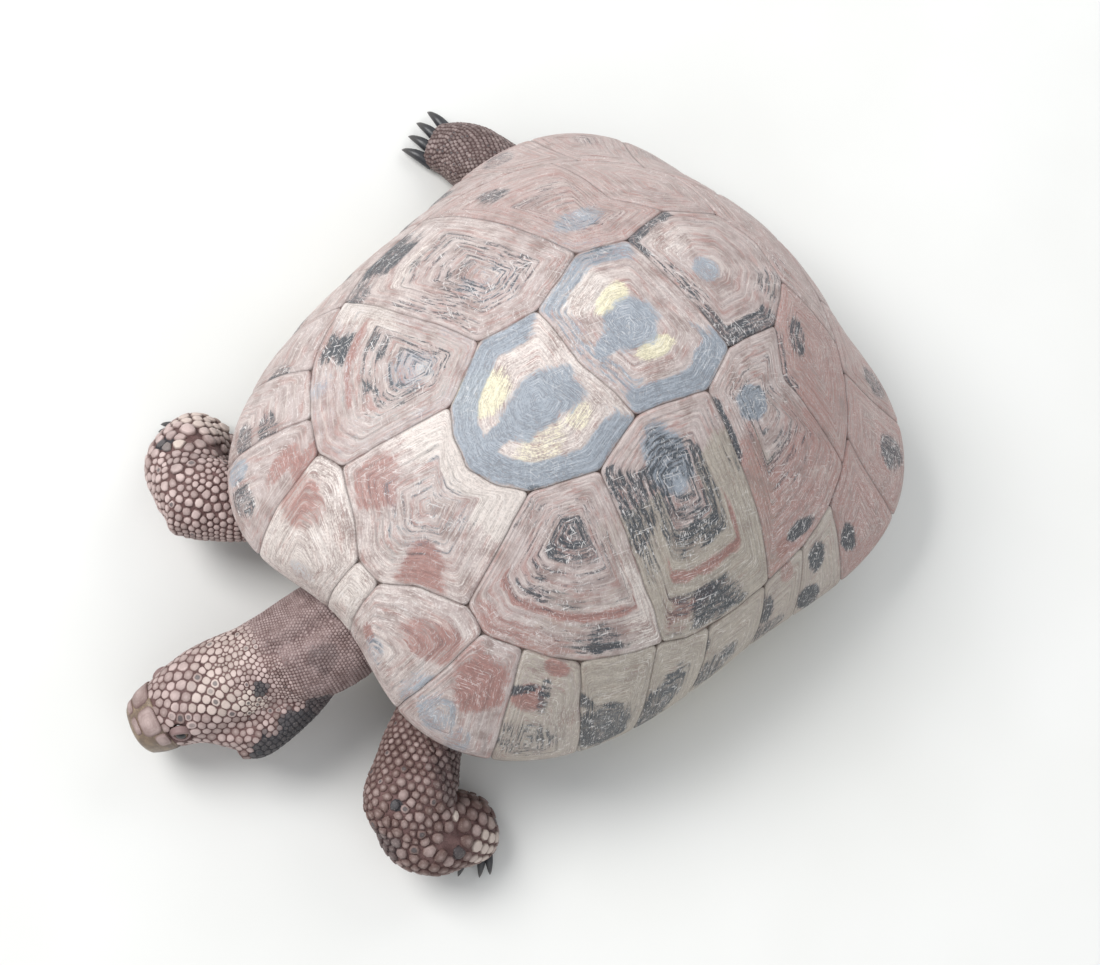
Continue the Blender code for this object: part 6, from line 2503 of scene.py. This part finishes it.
@dataclass
class Claws:
    """Curved claws rooted in the skin of each foot, and the horn spur of the tail."""

    skin: bpy.types.Object
    horn: bpy.types.Material
    steps: int = 18

    def cone(self, path: Array, sizes: Array, flat: float = 0.9) -> MeshData:
        """A curved cone: ovals along a path, closed at both ends.

        Args:
            path: rows of places, root to tip.
            sizes: half width at each.
            flat: height over width.

        Returns:
            The closed mesh.
        """
        steps = np.linspace(0.0, 1.0, self.steps)
        line = spline(path, steps)
        size = spline(np.array(sizes)[:, None], steps)
        tangent = unit(np.gradient(line, axis=0))
        side = unit(np.cross(tangent, [0.0, 0.0, 1.0]))
        above = np.cross(side, tangent)
        turn = full_turn(self.steps)
        rings = (line[:, None] + (size * np.cos(turn))[..., None] * side[:, None]
                 + (size * flat * np.sin(turn))[..., None] * above[:, None])
        rings[..., 2] = np.maximum(rings[..., 2], 0.3 * MM)
        data = closed_stack(rings, line[0], line[-1] + tangent[-1] * size[-1])
        data.values = {"edge": np.append(np.repeat(steps, self.steps), [0.0, 1.0])}
        return data

    def row(self, foot: Foot) -> MeshData:
        """All claws of one foot.

        Args:
            foot: the foot.

        Returns:
            The claws as one mesh.
        """
        x, y = LEGS[foot.leg][1].stations[-1][:2]
        centre = np.array([x, y, 0.0034]) + SHELL_PLACE
        heading = math.atan2(foot.aim[1], foot.aim[0])
        across = np.array([-math.sin(heading), math.cos(heading), 0.0])
        cones = []
        for u in np.linspace(-1.0, 1.0, foot.count):
            turn = heading + u * foot.spread
            aim = np.array([math.cos(turn), math.sin(turn), 0.0])
            root = self.root(centre, across * (u * foot.row), aim) - aim * 0.6 * MM
            rise = np.array([0.0, 0.0, 1.0 * MM])
            run = aim * foot.length
            path = np.array([root - aim * 2.5 * MM, root + rise * 0.4, root + run * 0.45 + rise * 0.7,
                             root + run * 0.82 - rise * 0.4, root + run - rise * 1.7])
            path[:, 2] = np.maximum(path[:, 2], 0.7 * MM)
            cones.append(self.cone(path, np.array([1.0, 0.96, 0.76, 0.42, 0.1]) * foot.half_width))
        return join(cones)

    def root(self, centre: Array, aside: Array, aim: Array) -> Array:
        """Place on the skin along aim, from a start inside the foot.

        Args:
            centre: middle of the foot.
            aside: step to the side, made smaller until the skin is met.
            aim: direction of the claw.

        Returns:
            The place.
        """
        for share in (1.0, 0.8, 0.6, 0.4, 0.2, 0.0):
            start = centre + aside * share
            hit, place, normal, _ = self.skin.ray_cast(start.tolist(), aim.tolist())
            if hit and normal.dot(aim.tolist()) > 0.0:
                return np.array(place)
        return centre + aside * 0.5

    def spur(self) -> MeshData:
        """The blunt horn spur at the end of the tail.

        Returns:
            The closed mesh.
        """
        path = spline(np.array(TAIL.stations), np.linspace(0.0, 1.0, 5))[:, :3] + SHELL_PLACE
        along = unit(path[-1] - path[-2])
        line = path[-1] + along * np.array([-1.2, 1.0, 3.5, 5.8, 7.0])[:, None] * MM
        line[:, 0] += np.array([0.0, 0.0, 0.15, 0.5, 0.8]) * MM
        return self.cone(line, np.array([3.1, 3.1, 2.4, 1.3, 0.5]) * MM, 1.0)

    def build(self) -> None:
        """Makes the claws, foot by foot, and the spur."""
        for foot in FEET:
            hand_over(make_piece("claws_" + foot.leg, self.row(foot), self.horn), "horn")
        hand_over(make_piece("spur_of_tail", self.spur(), self.horn), "horn", "tail_spur")


# ---- lower shell ----

@dataclass(frozen=True)
class LowerShellFinish:
    """Yellow horn of the underside with a black blotch on each plate, worn along the middle."""

    yellow: tuple = shade(206, 180, 120)
    pale: tuple = shade(224, 206, 158)
    black: tuple = shade(48, 40, 36)
    seam: tuple = shade(110, 84, 60)

    def material(self) -> bpy.types.Material:
        """The node material.

        Returns:
            The material.
        """
        recipe = Recipe("lower_shell_horn", 0.48, 0.4)
        wash = recipe.grain(120.0, 4.0)
        streak = recipe.noise(recipe.stretched(recipe.object_place, (140.0, 900.0, 200.0)), 1.0, 4.0)
        colour = recipe.mix(recipe.ramp(wash, 0.3, 0.7), self.yellow, self.pale)
        torn = recipe.times(recipe.math("SUBTRACT", streak, 0.5), 0.8)
        ragged = recipe.plus(recipe.attribute("dark"), torn)
        colour = recipe.lay(colour, self.black, ragged, 0.35, 0.65, 0.0, 0.92)
        colour = recipe.lay(colour, self.seam, recipe.attribute("seam"), 0.3, 0.9, 0.0, 0.85)
        colour = recipe.lay(colour, self.pale, streak, 0.62, 0.74, 0.0, 0.3)
        return recipe.finish(colour, None, streak, 0.1 * MM)


@dataclass
class LowerShell:
    """The plastron: one closed plate with seams, growth rings and bridges that rise to the rim."""

    seams: tuple = (-0.061, -0.04, -0.018, 0.04, 0.066)
    front: float = -0.083
    rear: float = 0.09
    rows: int = 230
    columns: int = 121

    def build(self) -> None:
        """Makes the piece."""
        material = LowerShellFinish().material()
        hand_over(make_piece("lower_shell", self.mesh(), material), "lower_shell", "plastron")

    def mesh(self) -> MeshData:
        """Rows across the body, each a closed loop of underside and upper side.

        The underside is the form's height, with seam furrows 0.4 mm deep and growth rings
        that run parallel to the seams.

        Returns:
            The closed mesh.
        """
        y = np.linspace(self.front, self.rear, self.rows)[:, None]
        across = np.linspace(-1.0, 1.0, self.columns)[None, :]
        half = self.softened(LOWER_FORM.half_width(y[:, 0])[:, None])
        x = across * half
        ends = 1.0 - np.abs(across)
        notch_rear = 0.012 * np.clip((y - 0.07) / 0.02, 0.0, 1.0) * ends
        notch_front = 0.004 * np.clip((-y - 0.078) / 0.005, 0.0, 1.0) * ends
        along = y - notch_rear + notch_front
        side = np.clip(np.abs(across) - 0.8, 0.0, None) / 0.2
        low = LOWER_FORM.low(x, along) + 0.001 * side + 0.1 * MM
        high = low + LOWER_FORM.thickness - 0.0022 * side - 0.2 * MM
        furrow, growth, dark = self.pattern(x, along, half)
        low = low + (0.4 * bump_at(furrow, 0.6 * MM) + 0.1 * growth) * MM
        below = np.stack([x, along, low], axis=-1)
        above = np.stack([x, along, high], axis=-1)[:, ::-1]
        rings = np.concatenate([below, above], axis=1) + SHELL_PLACE
        data = closed_stack(rings)
        for key, value in (("dark", dark), ("seam", bump_at(furrow, 0.5 * MM))):
            both = np.concatenate([value, np.zeros_like(value)], axis=1)
            data.values[key] = np.append(both.ravel(), np.zeros(2))
        return data

    def softened(self, half: Array) -> Array:
        """Half widths averaged over 5 mm along the body, so the lobes run smoothly.

        Args:
            half: the half widths.

        Returns:
            The smoother half widths.
        """
        reach = 3
        padded = np.pad(half[:, 0], reach, mode="edge")
        mean = np.convolve(padded, np.ones(2 * reach + 1) / (2 * reach + 1), mode="valid")
        return np.minimum(mean, half[:, 0])[:, None]

    def pattern(self, x: Array, y: Array, half: Array) -> tuple:
        """Distance to the nearest seam, growth rings and black blotches.

        Args:
            x: place across the body.
            y: place along the body.
            half: half width of the lower shell there.

        Returns:
            The distance, the rings and the blotches.
        """
        wave = 0.0012 * noise(np.stack([x, y, np.zeros_like(x)], axis=-1), 60.0, 41)
        bow = 0.1 * (np.abs(x) - 0.02)
        cuts = np.array((self.front - 0.004, *self.seams, self.rear + 0.004))
        from_cuts = np.abs((y + bow + wave)[..., None] - cuts).min(axis=-1)
        midline = np.abs(x + wave)
        rim_seam = np.abs(np.abs(x) - 0.07 + 0.2 * np.abs(y - 0.002)) + 1.0 * (np.abs(y - 0.002) > 0.04)
        furrow = np.minimum(np.minimum(from_cuts, midline), rim_seam)
        growth = bump_at(np.abs((furrow / (2.0 * MM)) % 1.0 - 0.5), 0.16)
        growth = growth * smooth_step(furrow, 1.0 * MM, 3.0 * MM)
        cell = np.searchsorted(cuts, (y + bow).ravel()).reshape(x.shape)
        middle = 0.5 * (cuts[np.clip(cell - 1, 0, 6)] + cuts[np.clip(cell, 0, 6)])
        long_half = 0.5 * (cuts[np.clip(cell, 0, 6)] - cuts[np.clip(cell - 1, 0, 6)])
        u = (np.abs(x) - 0.55 * half) / (0.36 * half)
        v = (y - middle - 0.15 * long_half) / (0.8 * long_half)
        ragged = 0.35 * fractal(np.stack([x, y, np.zeros_like(x)], axis=-1), 170.0, 3, 43)
        dark = smooth_step(1.0 - np.hypot(u, v) + ragged, -0.1, 0.2)
        return furrow, growth, dark


# ---- stage ----

@dataclass
class Studio:
    """Plain pale floor, soft light and the camera over the animal's left shoulder."""

    azimuth: float = math.radians(30.035)
    elevation: float = math.radians(70.804)
    roll: float = math.radians(18.249)
    distance: float = 0.738
    target: tuple = (0.012, -0.015, 0.06)
    focal_widths: float = 2.053
    lamps: tuple = (("key", (-0.95, -0.5, 1.3), 0.9, 24.0), ("fill", (0.9, -0.5, 1.2), 1.4, 5.0),
                    ("rear", (-0.2, 1.2, 0.9), 1.0, 6.0))
    sky: tuple = (0.9, 0.95, 1.0, 1.0)
    sky_strength: float = 0.55
    sensor_width: float = 36.0

    def build(self) -> None:
        """Makes the floor, the lights and the camera."""
        self.floor()
        for lamp in self.lamps:
            self.light(*lamp)
        world = bpy.data.worlds.new("studio")
        world.use_nodes = True
        background = world.node_tree.nodes["Background"]
        background.inputs[0].default_value = self.sky
        background.inputs[1].default_value = self.sky_strength
        bpy.context.scene.world = world
        bpy.context.scene.view_settings.view_transform = "Standard"
        self.camera()

    def floor(self) -> None:
        """A pale floor with a faint grain."""
        recipe = Recipe("studio_floor", 0.7, 0.2)
        grain = recipe.grain(6.0)
        colour = recipe.mix(recipe.ramp(grain, 0.3, 0.7), shade(222, 221, 217), shade(228, 227, 224))
        corners = np.array([(-4.0, -4.0, 0.0), (4.0, -4.0, 0.0), (4.0, 4.0, 0.0), (-4.0, 4.0, 0.0)])
        make_piece("floor", MeshData(corners, np.array([[0, 1, 2, 3]])), recipe.finish(colour))

    def light(self, name: str, place: tuple, size: float, power: float) -> None:
        """A soft square lamp aimed at the animal.

        Args:
            name: its name.
            place: its place.
            size: length of a side.
            power: watts.
        """
        lamp = bpy.data.lights.new(name, "AREA")
        lamp.size = size
        lamp.energy = power
        holder = new_object(name, lamp)
        holder.matrix_world = self.aimed(np.array(place), np.array([0.0, 0.0, 0.05]), 0.0)

    def aimed(self, place: Array, target: Array, roll: float) -> Matrix:
        """Matrix of something at place whose -Z axis looks at the target, rolled about it.

        Args:
            place: its place.
            target: the place looked at.
            roll: radians.

        Returns:
            The matrix.
        """
        back = unit(place - target)
        right = unit(np.cross([0.0, 0.0, 1.0], back))
        up = np.cross(back, right)
        turned_right = right * math.cos(roll) + up * math.sin(roll)
        turned_up = up * math.cos(roll) - right * math.sin(roll)
        columns = np.stack([turned_right, turned_up, back, place], axis=1)
        return Matrix(np.vstack([columns, [0.0, 0.0, 0.0, 1.0]]).tolist())

    def camera(self) -> None:
        """The camera, high over the left shoulder, with the whole animal in its frame."""
        target = np.array(self.target) + SHELL_PLACE
        back = np.array([math.sin(self.azimuth) * math.cos(self.elevation),
                         -math.cos(self.azimuth) * math.cos(self.elevation), math.sin(self.elevation)])
        lens = bpy.data.cameras.new("camera")
        lens.sensor_fit = "HORIZONTAL"
        lens.sensor_width = self.sensor_width
        lens.lens = self.sensor_width * self.focal_widths
        lens.clip_start = 0.01
        holder = new_object("camera", lens)
        holder.matrix_world = self.aimed(target + back * self.distance, target, self.roll)
        bpy.context.scene.camera = holder


def main() -> None:
    """Builds the tortoise and its stage in order."""
    logging.basicConfig(level=logging.INFO, format="%(message)s")
    Carapace().build()
    flesh = Flesh()
    flesh.build()
    ScaleCoat(flesh.piece, FleshFinish().scales()).build()
    HeadPieces(EyeFinish().material(), BeakFinish().material()).build()
    Claws(flesh.piece, ClawFinish().material()).build()
    LowerShell().build()
    Studio().build()


if __name__ == "__main__":
    main()
